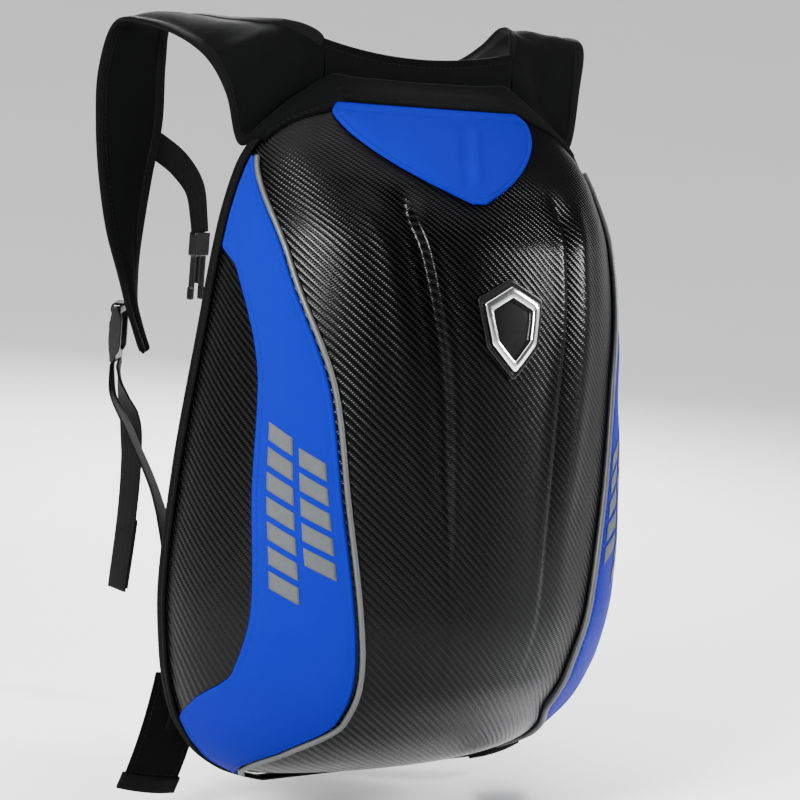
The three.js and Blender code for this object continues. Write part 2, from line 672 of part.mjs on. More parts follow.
const lockSeat = strapSeat(LOCK_SHARE);
const LOCK_CENTRE = lockSeat.centre.clone()
  .addScaledVector(lockSeat.outward, (PAD_THICKNESS + LOCK_THICKNESS) / 2 + LOCK_STANDOFF)
  .add(new THREE.Vector3(0, 0, -LOCK_SAG));
const LOCK_FOOT = LOCK_CENTRE.clone().add(new THREE.Vector3(0, 0, -LOCK_HEIGHT / 2 - 2 * SEAT_GAP));
const ANCHOR = new THREE.Vector3(
  -ANCHOR_SIDE_SHARE * SHELL_HALF_WIDTH,
  SEAT_GAP + TAB_THICKNESS + WEBBING_THICKNESS / 2,
  -ANCHOR_LEVEL_SHARE * SHELL_HEIGHT,
);

/** Ladder lock, its slots filled by the webbing: three bars over a domed back, seen from the side. */
function ladderLock() {
  const h = LOCK_HEIGHT / 2;
  const low = -LOCK_THICKNESS / 2;
  const high = LOCK_THICKNESS / 2;
  const between = high - LOCK_GROOVE;
  const bar = LOCK_HEIGHT * 0.1;
  const gap = (LOCK_HEIGHT - 3 * bar) / 2;
  const profile = new THREE.Shape();
  profile.moveTo(low, -h + bar);
  profile.quadraticCurveTo(low * 0.4, -h, high * 0.4, -h);
  profile.quadraticCurveTo(high * 0.8, -h + bar * 0.5, between, -h + bar);
  profile.quadraticCurveTo(between, -h + bar + gap * 0.6, high, -bar / 2);
  profile.lineTo(high, bar / 2);
  profile.quadraticCurveTo(between, h - bar - gap * 0.6, between, h - bar);
  profile.quadraticCurveTo(high * 0.8, h - bar * 0.5, high * 0.4, h);
  profile.quadraticCurveTo(low * 0.4, h, low, h - bar);
  const geometry = new THREE.ExtrudeGeometry(profile, {
    depth: LOCK_WIDTH, bevelEnabled: false, curveSegments: 4,
  });
  const wide = lockSeat.across.clone().setZ(0).normalize();
  const up = new THREE.Vector3(0, 0, 1);
  const outward = up.clone().cross(wide);
  if (outward.dot(lockSeat.outward) < 0) wide.negate();
  geometry.translate(0, 0, -LOCK_WIDTH / 2);
  geometry.applyMatrix4(new THREE.Matrix4().makeBasis(up.clone().cross(wide), up, wide.clone().negate()));
  geometry.translate(...LOCK_CENTRE.toArray());
  return facingOut(geometry);
}

const turnOf = ({ turnX, turnY, turnZ = 0 }) => new THREE.Vector3(turnX, turnY, turnZ);

function webbingTail() {
  const top = LOCK_FOOT.clone().addScaledVector(lockSeat.outward, -WEBBING_SPLIT / 2);
  const path = TAIL.map(({ out, back, drop }) => new THREE.Vector3(out, back, -drop)
    .multiplyScalar(TAIL_LENGTH).add(top));
  return webbing(path, TAIL.map(turnOf), WEBBING_WIDTH);
}

function lowerWebbing() {
  const top = LOCK_FOOT.clone().addScaledVector(lockSeat.outward, WEBBING_SPLIT / 2);
  const length = top.distanceTo(ANCHOR);
  const path = LOWER_RUN.map(({ run, out, rise }) => top.clone().lerp(ANCHOR, run)
    .add(new THREE.Vector3(out * length, 0, rise * length)));
  return webbing(path, LOWER_RUN.map(turnOf), WEBBING_WIDTH);
}

/** Folded tab at the corner of the back, which holds the lower end of the webbing. */
function lowerTab() {
  const shape = new THREE.Shape([
    new THREE.Vector2(-TAB_TOP_WIDTH / 2, 0),
    new THREE.Vector2(TAB_TOP_WIDTH / 2, 0),
    new THREE.Vector2(TAB_BOTTOM_WIDTH / 2, -TAB_HEIGHT),
    new THREE.Vector2(-TAB_BOTTOM_WIDTH / 2, -TAB_HEIGHT),
  ]);
  const geometry = new THREE.ExtrudeGeometry(shape, { depth: TAB_THICKNESS, bevelEnabled: false });
  geometry.rotateX(Math.PI / 2);
  geometry.translate(ANCHOR.x, SEAT_GAP + TAB_THICKNESS, ANCHOR.z - 5 * SEAT_GAP);
  return geometry;
}

/** Short padded wing that hangs from the lower corner of the back. */
function waistWing() {
  const lean = new THREE.Vector3(0.98, 0, -0.18).multiplyScalar(WING_WIDTH / 2);
  const rows = steps(7).map((t) => {
    const centre = new THREE.Vector3(
      -WING_SIDE_SHARE * SHELL_HALF_WIDTH - WING_SPLAY * t,
      3 * SEAT_GAP + TAB_THICKNESS + WING_THICKNESS / 2 + WING_CURL * t * t,
      -WING_LEVEL_SHARE * SHELL_HEIGHT - WING_LENGTH * t,
    );
    return { inner: centre.clone().add(lean), outer: centre.clone().sub(lean) };
  });
  return paddedBand(rows.map((row) => row.inner), rows.map((row) => row.outer), WING_THICKNESS);
}

/** Point on the inner edge of the left strap where the chest webbing is sewn on. */
const CHEST_TOP = new THREE.Vector3(
  -STRAP_SPREAD * CHEST_SIDE_SHARE,
  RIM_Y + STRAP_REACH + PAD_THICKNESS / 2 + 2 * SEAT_GAP,
  -STRAP_DROP * CHEST_LEVEL_SHARE,
);
const CHEST_PATH = CHEST_RUN.map(({ out, back, drop }) => new THREE.Vector3(out, back, -drop)
  .multiplyScalar(CHEST_HANG).add(CHEST_TOP));
const CHEST_END = CHEST_PATH[CHEST_PATH.length - 1];

const chestWebbing = () => webbing(CHEST_PATH, CHEST_RUN.map(turnOf), CHEST_WEBBING_WIDTH);

/** Half of the chest buckle, rounded at its ends, hanging from the webbing. */
function chestBuckle(length, width) {
  const shape = new THREE.Shape();
  shape.moveTo(-width / 2, 0);
  shape.lineTo(width / 2, 0);
  shape.lineTo(width / 2, -length * 0.7);
  shape.quadraticCurveTo(width / 2, -length, 0, -length);
  shape.quadraticCurveTo(-width / 2, -length, -width / 2, -length * 0.7);
  const geometry = new THREE.ExtrudeGeometry(shape, {
    depth: CHEST_BUCKLE_THICKNESS, bevelEnabled: false, curveSegments: 5,
  });
  geometry.translate(0, 0, -CHEST_BUCKLE_THICKNESS / 2);
  geometry.rotateX(Math.PI / 2);
  geometry.rotateZ(radians(CHEST_BUCKLE_TURN));
  geometry.translate(CHEST_END.x, CHEST_END.y, CHEST_END.z - 2 * SEAT_GAP);
  return geometry;
}

// Materials

const material = (color, roughness, metalness = 0) => new THREE.MeshStandardMaterial(
  { color, roughness, metalness });
const moulded = material(0x17181a, 0.42);
const blueCloth = material(0x1d4fc4, 0.62);
const blackCloth = material(0x141516, 0.85);
const piped = material(0x9a9ea4, 0.5);
const blackPlastic = material(0x0d0e10, 0.3);
const brightMetal = material(0xdfe2e6, 0.18, 1);

// Assembly

const group = new THREE.Group();

function add(name, geometry, finish) {
  const mesh = new THREE.Mesh(geometry, finish);
  mesh.name = name;
  group.add(mesh);
}

/** A left piece and its mirror image, named by side. */
function addPair(name, geometry, finish) {
  add(`${name}_left`, geometry, finish);
  add(`${name}_right`, mirrored(geometry.index ? geometry.toNonIndexed() : geometry), finish);
}

add('hard_shell', hardShell(), moulded);
addPair('side_panel', sidePanel(), blueCloth);
addPair('piping', piping(), piped);
add('rear_binding', rearBinding(), blackCloth);
add('back_panel', backPanel(), blackCloth);
add('top_flap', topFlap(), blueCloth);
add('badge_base', badgeBase(), blackPlastic);
add('badge_mark', badgeMark(), brightMetal);
add('yoke', yoke(), blackCloth);
add('shoulder_strap_left', shoulderStrap(LEFT_STRAP), blackCloth);
add('shoulder_strap_right', mirrored(shoulderStrap(RIGHT_STRAP)), blackCloth);
addPair('ladder_lock', ladderLock(), blackPlastic);
addPair('webbing_tail', webbingTail(), blackCloth);
addPair('lower_webbing', lowerWebbing(), blackCloth);
addPair('lower_tab', lowerTab(), blackCloth);
addPair('waist_wing', waistWing(), blackCloth);
addPair('chest_webbing', chestWebbing(), blackCloth);
add('chest_buckle_tongue', chestBuckle(TONGUE_LENGTH, TONGUE_WIDTH), blackPlastic);
add('chest_buckle_socket', mirrored(chestBuckle(SOCKET_LENGTH, SOCKET_WIDTH)), blackPlastic);

export default group;
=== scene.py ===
"""Looks of a hard shell backpack, in metres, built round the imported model.

+Z up, +X to the right of someone who faces the shell, +Y towards the wearer. The origin lies on the
wearer's face of the back, level with the top of the shell. Tables hold shares of named sizes.
"""

import math

import bmesh
import bpy
import numpy as np
from mathutils import Matrix, Vector, noise


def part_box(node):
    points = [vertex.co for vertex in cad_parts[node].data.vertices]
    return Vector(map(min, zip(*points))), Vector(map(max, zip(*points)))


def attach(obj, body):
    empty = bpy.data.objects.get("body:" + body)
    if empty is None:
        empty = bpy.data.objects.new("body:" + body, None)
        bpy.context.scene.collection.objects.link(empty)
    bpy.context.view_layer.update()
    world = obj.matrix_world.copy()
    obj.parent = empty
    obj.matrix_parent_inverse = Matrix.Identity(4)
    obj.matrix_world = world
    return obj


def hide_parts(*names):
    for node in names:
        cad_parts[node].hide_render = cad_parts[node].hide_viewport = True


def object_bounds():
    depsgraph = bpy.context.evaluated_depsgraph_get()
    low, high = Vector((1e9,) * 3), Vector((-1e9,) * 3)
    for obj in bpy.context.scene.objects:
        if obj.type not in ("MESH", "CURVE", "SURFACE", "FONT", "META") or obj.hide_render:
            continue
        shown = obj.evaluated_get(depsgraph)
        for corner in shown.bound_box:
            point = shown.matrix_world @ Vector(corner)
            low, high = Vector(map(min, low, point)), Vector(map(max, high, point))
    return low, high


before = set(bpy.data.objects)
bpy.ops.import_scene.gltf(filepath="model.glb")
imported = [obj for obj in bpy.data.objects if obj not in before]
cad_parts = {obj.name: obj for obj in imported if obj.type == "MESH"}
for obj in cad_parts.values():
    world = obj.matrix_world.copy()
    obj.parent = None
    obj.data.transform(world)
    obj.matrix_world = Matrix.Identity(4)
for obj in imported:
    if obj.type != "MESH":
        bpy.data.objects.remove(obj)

CAD_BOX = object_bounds()
MM = 0.001
SCENE = bpy.context.scene


# Sizes

shell_low, shell_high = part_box("hard_shell")
HALF_WIDTH = shell_high.x
HEIGHT = shell_high.z - shell_low.z
RIM_Y = shell_high.y
DEPTH = RIM_Y - shell_low.y
WALL = 4.5 * MM
GROOVE_DEPTH = 4.4 * MM
EDGE_CREST = 1.8 * MM
GROOVE_SHARE = 0.22
CREST_START = 0.6
SHOULDER_FULLNESS = 1.1 * MM
SEAT_GAP = 0.4 * MM

BACK_EDGE_ROUND = 9 * MM
BACK_TAPER = 14 * MM
BACK_MARGIN = 1 * MM
BAND_DEPTH = 9 * MM
BAND_THICKNESS = 2.4 * MM

PANEL_THICKNESS = 1.6 * MM
PIPING_RADIUS = 2.2 * MM
PIPING_TO_PANEL = 3.6 * MM
PRINT_THICKNESS = 0.25 * MM

FLAP_HALF_WIDTH = 76 * MM
FLAP_OFFSET = -9 * MM
FLAP_DROP = 65 * MM
FLAP_THICKNESS = 3.2 * MM
BADGE_HEIGHT = 62 * MM
BADGE_HALF_WIDTH = 25 * MM
BADGE_DROP = 140 * MM
BADGE_THICKNESS = 1.8 * MM
BADGE_FRAME_OUTER = 0.84
BADGE_FRAME_INNER = 0.62

YOKE_TOP = 33 * MM
YOKE_DIP = 24 * MM
YOKE_BOTTOM = -9 * MM
PAD_THICKNESS = 9.2 * MM
STRAP_SPREAD = 138 * MM
STRAP_REACH = 208 * MM
STRAP_RISE = 42 * MM
STRAP_DROP = 205 * MM
HEM = 8 * MM
SEAM_OVERLAP = 1.2 * MM
APRON_LEVEL = 0.078
APRON_LAP = 4.5 * MM
APRON_FRONT = 0.0165
PAD_RELIEF = 5 * MM
PAD_CHANNEL = 15 * MM
PAD_SEAMS = (0.3, 0.55, 0.78)

WEBBING_WIDTH = 25 * MM
WEBBING_THICKNESS = 1.8 * MM
CHEST_WEBBING_WIDTH = 20 * MM
LOCK_WIDTH = 34 * MM
LOCK_HEIGHT = 40 * MM
LOCK_THICKNESS = 9 * MM
LOCK_STANDOFF = 1.5 * MM
LOCK_SAG = 11 * MM
TAIL_LENGTH = 172 * MM
WEBBING_SPLIT = 5 * MM
TAB_TOP_WIDTH = 32 * MM
TAB_BOTTOM_WIDTH = 48 * MM
TAB_HEIGHT = 34 * MM
TAB_THICKNESS = 1.8 * MM
CHEST_HANG = 66 * MM
BUCKLE_THICKNESS = 7 * MM
BUCKLE_TURN = math.radians(25)
TONGUE_LENGTH = 50 * MM
TONGUE_WIDTH = 18 * MM
SOCKET_LENGTH = 31 * MM
SOCKET_WIDTH = 24 * MM
WING_WIDTH = 42 * MM
WING_LENGTH = 84 * MM
WING_THICKNESS = 5 * MM
WING_SPLAY = 13 * MM
WING_CURL = 16 * MM

STITCH_LENGTH = 3.0 * MM
STITCH_GAP = 1.1 * MM
STITCH_RADIUS = 0.38 * MM
STITCH_LIFT = 0.1 * MM
STITCH_RINGS = 5
STITCH_SIDES = 6
SEAM_INSET = 4.2 * MM

SIDES = ((1, "left"), (-1, "right"))
MIRROR = np.array([-1, 1, 1])


# Tables

def table(columns, *rows):
    """Named columns, each an array with a value for each row."""
    return dict(zip(columns.split(), np.array(rows, float).T))


OUTLINE = table(
    "level width depth",
    (0, 0.4, 0), (0.012, 0.46, 0.14), (0.03, 0.57, 0.25), (0.055, 0.67, 0.36), (0.085, 0.755, 0.47),
    (0.12, 0.805, 0.59), (0.2, 0.86, 0.8), (0.35, 0.914, 0.93), (0.55, 0.978, 0.98), (0.7, 1, 1),
    (0.8, 0.975, 0.93), (0.88, 0.92, 0.75), (0.94, 0.82, 0.54), (0.975, 0.7, 0.34),
    (0.992, 0.58, 0.16), (1, 0.5, 0))

# Degrees round each section from the middle of the front
RIBS = table(
    "level crest shoulder relief",
    (0, 20, 36, 0), (0.12, 23.5, 37, 0), (0.16, 23, 34, 1), (0.2, 22.3, 31, 1),
    (0.3, 20.8, 27.2, 1), (0.4, 19.4, 24, 0.95), (0.5, 17.6, 21.2, 0.8), (0.6, 15.4, 19, 0.4),
    (0.7, 14.6, 18.4, 0.1), (0.85, 14.5, 18.5, 0), (1, 14.5, 18.5, 0))
SIDE_LINES = table(
    "level piping rear",
    (0.1, 78, 88), (0.21, 61, 88), (0.25, 57, 77), (0.4, 43, 64), (0.55, 37, 61), (0.7, 32, 58),
    (0.8, 30, 62), (0.86, 31, 76), (0.92, 44, 88), (0.96, 60, 88), (1, 78, 88))
PANEL_TOP_LEVEL = 0.1
PANEL_BOTTOM_LEVEL = 0.983

FLAP = table(
    "level width",
    (0.13, 0.92), (0.24, 1), (0.36, 0.96), (0.5, 0.85), (0.64, 0.69), (0.78, 0.48), (0.9, 0.26),
    (1, 0.06))
BADGE = table(
    "level width",
    (0, 0.04), (0.1, 0.52), (0.2, 1), (0.36, 0.94), (0.52, 0.86), (0.68, 0.79), (0.84, 0.42),
    (1, 0.04))
BACK_SECTION = table(
    "level taper round",
    (0, 0, 0), (0.58, 0.55, 0), (0.87, 0.85, 0.1), (1, 1, 0.6))

# Strap edges, both as on the left: x share of the spread, y of the reach behind the rim, z of the
# rise above the shell's top and of the drop below it. Both straps end in the same course.
STRAP_COLUMNS = "neckX neckY neckZ outX outY outZ"
STRAP_COURSE = (
    (0.616, 1.0, -0.187, 0.993, 1.0, -0.204), (0.66, 0.995, -0.39, 0.964, 0.985, -0.4),
    (0.695, 0.99, -0.585, 0.927, 0.945, -0.585), (0.7, 1.0, -0.72, 0.88, 0.9, -0.72),
    (0.685, 1.0, -0.86, 0.82, 0.875, -0.86), (0.61, 0.99, -1.0, 0.72, 0.88, -1.0))
LEFT_STRAP = table(
    STRAP_COLUMNS,
    (0.547, 0.03, 0.78, 0.547, 0.03, -0.044), (0.575, 0.035, 0.86, 0.75, 0.03, -0.098),
    (0.605, 0.07, 0.94, 0.95, 0.034, -0.195), (0.63, 0.16, 1.0, 0.99, 0.1, -0.044),
    (0.652, 0.29, 0.99, 0.985, 0.23, 0.26), (0.667, 0.48, 0.96, 0.978, 0.43, 0.58),
    (0.674, 0.72, 0.96, 0.985, 0.72, 0.78), (0.674, 0.91, 0.8, 1.0, 0.91, 0.7),
    (0.63, 0.99, 0.1, 1.007, 0.99, -0.018), *STRAP_COURSE)
RIGHT_STRAP = table(
    STRAP_COLUMNS,
    (0.547, 0.03, 0.78, 0.547, 0.03, -0.044), (0.553, 0.045, 0.98, 0.75, 0.03, -0.098),
    (0.575, 0.075, 1.14, 0.95, 0.034, -0.16), (0.6, 0.12, 1.2, 1.01, 0.045, 0.3),
    (0.625, 0.19, 1.15, 1.05, 0.085, 1.0), (0.645, 0.3, 0.85, 1.055, 0.19, 1.1),
    (0.66, 0.45, 0.55, 1.04, 0.4, 0.85), (0.667, 0.62, 0.42, 1.02, 0.62, 0.5),
    (0.667, 0.85, 0.38, 1.01, 0.8, 0.4), (0.63, 0.97, -0.04, 1.007, 0.95, -0.05), *STRAP_COURSE)
TAIL = table(
    "out back drop turnX turnY turnZ",
    (0, 0, 0, 0.5, 0.86, 0), (0, 0, 0.04, 0.5, 0.86, 0), (0.029, 0.006, 0.14, 0.2, 0.98, 0),
    (0.07, 0.006, 0.25, -0.14, 0.99, 0), (0.087, 0, 0.42, -0.14, 0.99, 0),
    (0.081, -0.012, 0.65, -0.1, 0.99, 0), (0.047, -0.029, 1, -0.05, 1, 0))
LOWER_RUN = table(
    "run out rise turnX turnY turnZ",
    (0, 0, 0, 0.5, 0.86, 0), (0, 0, -0.027, 0.5, 0.86, 0), (0.1, -0.019, -0.015, 0.5, 0.86, 0),
    (0.3, -0.019, 0.038, 0.52, 0.85, 0), (0.5, 0, 0.053, 0.56, 0.82, 0),
    (0.75, 0.008, 0.023, 0.8, 0.55, 0.1), (1, 0.023, 0, 1, 0.1, 0))
CHEST_RUN = table(
    "out back drop turnX turnY turnZ",
    (-0.18, 0, -0.06, 0.2, 0, 1), (0.06, 0.015, 0.06, 0.35, 0, 0.94),
    (0.33, 0.045, 0.23, 0.6, 0.1, 0.8), (0.545, 0.045, 0.485, 0.85, 0.3, 0.4),
    (0.62, 0.03, 0.82, 0.9, 0.4, 0.1), (0.64, 0.015, 1, 0.9, 0.42, 0))

LOCK_SHARE = 0.93
ANCHOR_SIDE_SHARE = 0.72
ANCHOR_LEVEL_SHARE = 0.86
WING_SIDE_SHARE = 0.785
WING_LEVEL_SHARE = 0.859
CHEST_SIDE_SHARE = 0.62
CHEST_LEVEL_SHARE = 0.26
BACK_CORNER_LEVEL = 0.17


# Curves and numbers

def along(rows, column, level):
    """Value of a column at a level, on a smooth line through the rows that never overshoots."""
    x, y = rows["level"], rows[column]
    slope = np.diff(y) / np.diff(x)
    before, after = slope[:-1], slope[1:]
    same = before * after > 0
    inner = np.where(same, 2 * before * after / np.where(same, before + after, 1), 0)
    tangent = np.concatenate([slope[:1], inner, slope[-1:]])
    level = np.clip(level, x[0], x[-1])
    i = np.clip(np.searchsorted(x, level) - 1, 0, len(x) - 2)
    span = x[i + 1] - x[i]
    t = (level - x[i]) / span
    start = (1 + 2 * t) * (1 - t) ** 2 * y[i] + t * (1 - t) ** 2 * span * tangent[i]
    end = t * t * (3 - 2 * t) * y[i + 1] + t * t * (t - 1) * span * tangent[i + 1]
    return start + end


def curve_through(points, shares):
    """Points at shares of a smooth curve through the given ones, with even tension."""
    points = np.asarray(points, float)
    last = len(points) - 1
    padded = np.vstack([2 * points[0] - points[1], points, 2 * points[-1] - points[-2]])
    found = []
    for share in np.clip(shares, 0, 1) * last:
        i = min(int(share), last - 1)
        w = share - i
        p0, p1, p2, p3 = padded[i:i + 4]
        d0, d1, d2 = (max(np.sum((b - a) ** 2), 1e-12) ** 0.25
                      for a, b in ((p0, p1), (p1, p2), (p2, p3)))
        if np.allclose(p1, p2):
            d1 = 1
        t1 = d1 * ((p1 - p0) / d0 - (p2 - p0) / (d0 + d1) + (p2 - p1) / d1)
        t2 = d1 * ((p2 - p1) / d1 - (p3 - p1) / (d1 + d2) + (p3 - p2) / d2)
        found.append(p1 + t1 * w + (-3 * p1 + 3 * p2 - 2 * t1 - t2) * w ** 2
                     + (2 * p1 - 2 * p2 + t1 + t2) * w ** 3)
    return np.array(found)


def unit(v):
    return v / np.maximum(np.linalg.norm(v, axis=-1, keepdims=True), 1e-12)


def run_length(points):
    """Length along a line of points up to each of them."""
    return np.concatenate([[0], np.cumsum(np.linalg.norm(np.diff(points, axis=0), axis=1))])


def smooth(t):
    t = np.clip(t, 0, 1)
    return t * t * (3 - 2 * t)


def rumple(points, size, seed=0.0):
    """Soft noise from -1 to 1 at each point, with bumps of that size."""
    flat = np.asarray(points, float).reshape(-1, 3)
    values = [noise.noise(Vector(p) / size + Vector((seed, seed * 0.7, -seed))) for p in flat]
    return np.array(values).reshape(np.asarray(points).shape[:-1])


def ends_closer(count, ease=0.7):
    """Shares from 0 to 1 that lie closer together at both ends."""
    t = np.linspace(0, 1, count + 1)
    return (1 - ease) * t + ease * (0.5 - 0.5 * np.cos(math.pi * t))


# Meshes

def new_object(name, data):
    made = bpy.data.objects.new(name, data)
    SCENE.collection.objects.link(made)
    return made


def mesh_object(name, points, faces, weave=None):
    """Closed mesh, right side out. weave: lengths across and along the cloth at each point."""
    mesh = bpy.data.meshes.new(name)
    mesh.from_pydata([tuple(p) for p in np.asarray(points, float)], [], faces)
    if weave is not None:
        values = np.zeros((len(points), 3), np.float32)
        values[:, :weave.shape[-1]] = weave.reshape(-1, weave.shape[-1])
        layer = mesh.attributes.new("weave", "FLOAT_VECTOR", "POINT")
        layer.data.foreach_set("vector", values.ravel())
    shape = bmesh.new()
    shape.from_mesh(mesh)
    bmesh.ops.recalc_face_normals(shape, faces=shape.faces)
    shape.to_mesh(mesh)
    shape.free()
    mesh.shade_smooth()
    return new_object(name, mesh)


def grid_faces(number):
    """Square faces between neighbours in a grid of point numbers."""
    corners = (number[:-1, :-1], number[1:, :-1], number[1:, 1:], number[:-1, 1:])
    return np.stack(corners, -1).reshape(-1, 4).tolist()


def closed_sheet(name, outer, inner, weave):
    """Body between two grids of points of the same size."""
    rows, columns = outer.shape[:2]
    count = rows * columns
    number = np.arange(count).reshape(rows, columns)
    border = np.concatenate([number[0, :-1], number[:-1, -1], number[-1, :0:-1], number[:0:-1, 0]])
    after = np.roll(border, -1)
    faces = grid_faces(number) + grid_faces(number + count)
    faces += np.stack([border, after, after + count, border + count], 1).tolist()
    points = np.concatenate([outer.reshape(-1, 3), inner.reshape(-1, 3)])
    return mesh_object(name, points, faces, np.stack([weave, weave]))


def ring_faces(count, sides, closed=False):
    """Faces of a tube of rings, with an end at each side or closed like a tyre."""
    faces = []
    for r in range(count if closed else count - 1):
        here, there = r * sides, (r + 1) % count * sides
        for k in range(sides):
            after = (k + 1) % sides
            faces.append([here + k, here + after, there + after, there + k])
    if not closed:
        faces.append(list(range(sides)))
        faces.append([(count - 1) * sides + k for k in range(sides)])
    return faces


def loft(name, rings, weave=None, closed=False):
    """Body through rings of points (rings, points, 3), like a tyre if closed."""
    return mesh_object(name, rings.reshape(-1, 3), ring_faces(*rings.shape[:2], closed), weave)


def sweep(name, line, across, up, section, closed=False):
    """Body of one section (n, 2), its places across and up, along a line of points."""
    rings = line[:, None] + across[:, None] * section[:, :1] + up[:, None] * section[:, 1:]
    weave = np.stack(np.broadcast_arrays(section[None, :, 0], run_length(line)[:, None]), -1)
    return loft(name, rings, weave, closed)


def join(name, parts):
    """One object from several, with the first one's materials."""
    with bpy.context.temp_override(active_object=parts[0], selected_editable_objects=parts,
                                   selected_objects=parts, object=parts[0]):
        bpy.ops.object.join()
    parts[0].name = name
    parts[0].data.name = name
    return parts[0]


def fuse(obj, voxel, rounds):
    """Welds overlapping solids into one moulded body with soft edges."""
    remesh = obj.modifiers.new("weld", "REMESH")
    remesh.mode = "VOXEL"
    remesh.voxel_size = voxel
    remesh.use_smooth_shade = True
    soften = obj.modifiers.new("soften", "SMOOTH")
    soften.factor = 0.5
    soften.iterations = rounds


def mirror_of(obj, name):
    """The same mesh on the other side of the pack."""
    copy = obj.copy()
    copy.data = obj.data.copy()
    copy.name = name
    copy.data.name = name
    SCENE.collection.objects.link(copy)
    copy.data.transform(Matrix.Scale(-1, 4, (1, 0, 0)))
    copy.data.flip_normals()
    return copy


def box_at(size, place, bevel):
    """Rounded bar of that size round a place."""
    shape = bmesh.new()
    bmesh.ops.create_cube(shape, size=1)
    bmesh.ops.scale(shape, vec=size, verts=shape.verts)
    bmesh.ops.bevel(shape, geom=shape.edges[:], offset=bevel, segments=3, affect="EDGES", profile=0.6)
    bmesh.ops.translate(shape, vec=place, verts=shape.verts)
    mesh = bpy.data.meshes.new("bar")
    shape.to_mesh(mesh)
    shape.free()
    mesh.shade_smooth()
    return new_object("bar", mesh)


def moulding(name, size, *bars):
    """Bars joined into one body. Each has shares of the size, of the place, and a bevel in mm."""
    return join(name, [box_at(Vector(size * bar[:3]), Vector(size * bar[3:6]), bar[6] * MM)
                       for bar in np.array(bars)])


def outline_body(name, outline, depth):
    """Flat outline (n, 2) made solid along z, from -depth/2 to depth/2."""
    ends = [np.column_stack([outline, np.full(len(outline), z)]) for z in (-depth / 2, depth / 2)]
    return loft(name, np.stack(ends))


def stitches(name, line, normals):
    """Row of stitches along a line of points that lies on a surface with these normals."""
    length = run_length(line)
    step = STITCH_LENGTH + STITCH_GAP
    count = max(1, int(length[-1] / step))
    places = np.linspace(-0.5, 0.5, STITCH_RINGS) * STITCH_LENGTH
    fat = np.sqrt(np.clip(1 - np.linspace(-0.97, 0.97, STITCH_RINGS) ** 2, 0.04, 1)) * STITCH_RADIUS
    turn = np.linspace(0, 2 * math.pi, STITCH_SIDES, endpoint=False)[:, None]
    one = ring_faces(STITCH_RINGS, STITCH_SIDES)
    points, faces = [], []
    for k in range(count):
        spots = ((k + 0.5) * step + places) * length[-1] / (count * step)
        centre, up = (np.stack([np.interp(spots, length, values[:, i]) for i in range(3)], 1)
                      for values in (line, normals))
        up = unit(up)
        side = unit(np.cross(unit(np.gradient(centre, axis=0)), up))
        raised_up = centre + up * (STITCH_LIFT + 0.25 * fat)[:, None]
        points.append(raised_up[:, None] + fat[:, None, None] * (
            np.cos(turn) * side[:, None] + 0.8 * np.sin(turn) * up[:, None]))
        faces += [[k * STITCH_RINGS * STITCH_SIDES + corner for corner in face] for face in one]
    return mesh_object(name, np.concatenate(points).reshape(-1, 3), faces)


def stitch_rows(name, rows):
    """One piece of several rows of stitches, each given as a line of points and its normals."""
    return join(name, [stitches("row", line, normals) for line, normals in rows])


# Materials

TWILL_CORD = 3.9 * MM
TWILL_STRAND = 1.75 * MM
TWILL_RELIEF = 0.29 * MM
CLOTH_RELIEF = 0.16 * MM
TAPE_RELIEF = 0.22 * MM
CREASE_RELIEF = 1.5 * MM
MESH_RELIEF = 0.9 * MM
PRINT_WEAVE = 0.9 * MM


class Shader:
    """A material whose nodes are made by short calls. Every value is a socket or a number."""

    def __init__(self, name):
        self.material = bpy.data.materials.new(name)
        self.material.use_nodes = True
        self.tree = self.material.node_tree
        self.surface = self.tree.nodes["Principled BSDF"]

    def node(self, kind, settings=None, **inputs):
        made = self.tree.nodes.new(kind)
        for key, value in (settings or {}).items():
            setattr(made, key, value)
        for key, value in inputs.items():
            place = int(key[1:]) if key[0] == "i" and key[1:].isdigit() else key
            self.put(made.inputs[place], value)
        return made

    def put(self, socket, value):
        if isinstance(value, bpy.types.NodeSocket):
            self.tree.links.new(value, socket)
        else:
            socket.default_value = value

    def math(self, operation, *values):
        inputs = {f"i{k}": value for k, value in enumerate(values)}
        return self.node("ShaderNodeMath", {"operation": operation}, **inputs).outputs[0]

    def weave(self):
        """Lengths across and along the cloth in metres, then how far the shell's cords stand out."""
        read = self.node("ShaderNodeAttribute", {"attribute_name": "weave"})
        return self.node("ShaderNodeSeparateXYZ", Vector=read.outputs["Vector"]).outputs

    def place(self):
        return self.node("ShaderNodeTexCoord").outputs["Object"]

    def noise(self, scale, detail=3.0, place=None):
        place = place or self.place()
        return self.node("ShaderNodeTexNoise", Vector=place, Scale=scale, Detail=detail).outputs["Fac"]

    def wave(self, value, pitch, shift=0.0):
        """Cosine from 0 to 1 of a length, once every pitch."""
        turns = self.math("MULTIPLY_ADD", value, 2 * math.pi / pitch, shift)
        return self.math("MULTIPLY_ADD", self.math("COSINE", turns), 0.5, 0.5)

    def check(self, u, v, pitch):
        """Checks of a plain weave, 1 where one thread lies over the other."""
        return self.math("ABSOLUTE", self.math("SUBTRACT", self.wave(u, pitch), self.wave(v, pitch)))

    def blend(self, amount, low, high):
        ramp = self.node("ShaderNodeValToRGB", Fac=amount)
        for element, colour in zip(ramp.color_ramp.elements, (low, high)):
            element.color = (*colour, 1)
        return ramp.outputs["Color"]

    def between(self, amount, low, high):
        return self.node("ShaderNodeMapRange", Value=amount, i3=low, i4=high).outputs["Result"]

    def bump(self, height, distance, strength=1.0, under=None):
        made = self.node("ShaderNodeBump", Height=height, Distance=distance, Strength=strength)
        if under is not None:
            self.put(made.inputs["Normal"], under)
        return made.outputs["Normal"]

    def finish(self, **values):
        for key, value in values.items():
            self.put(self.surface.inputs[key.replace("_", " ")], value)
        return self.material


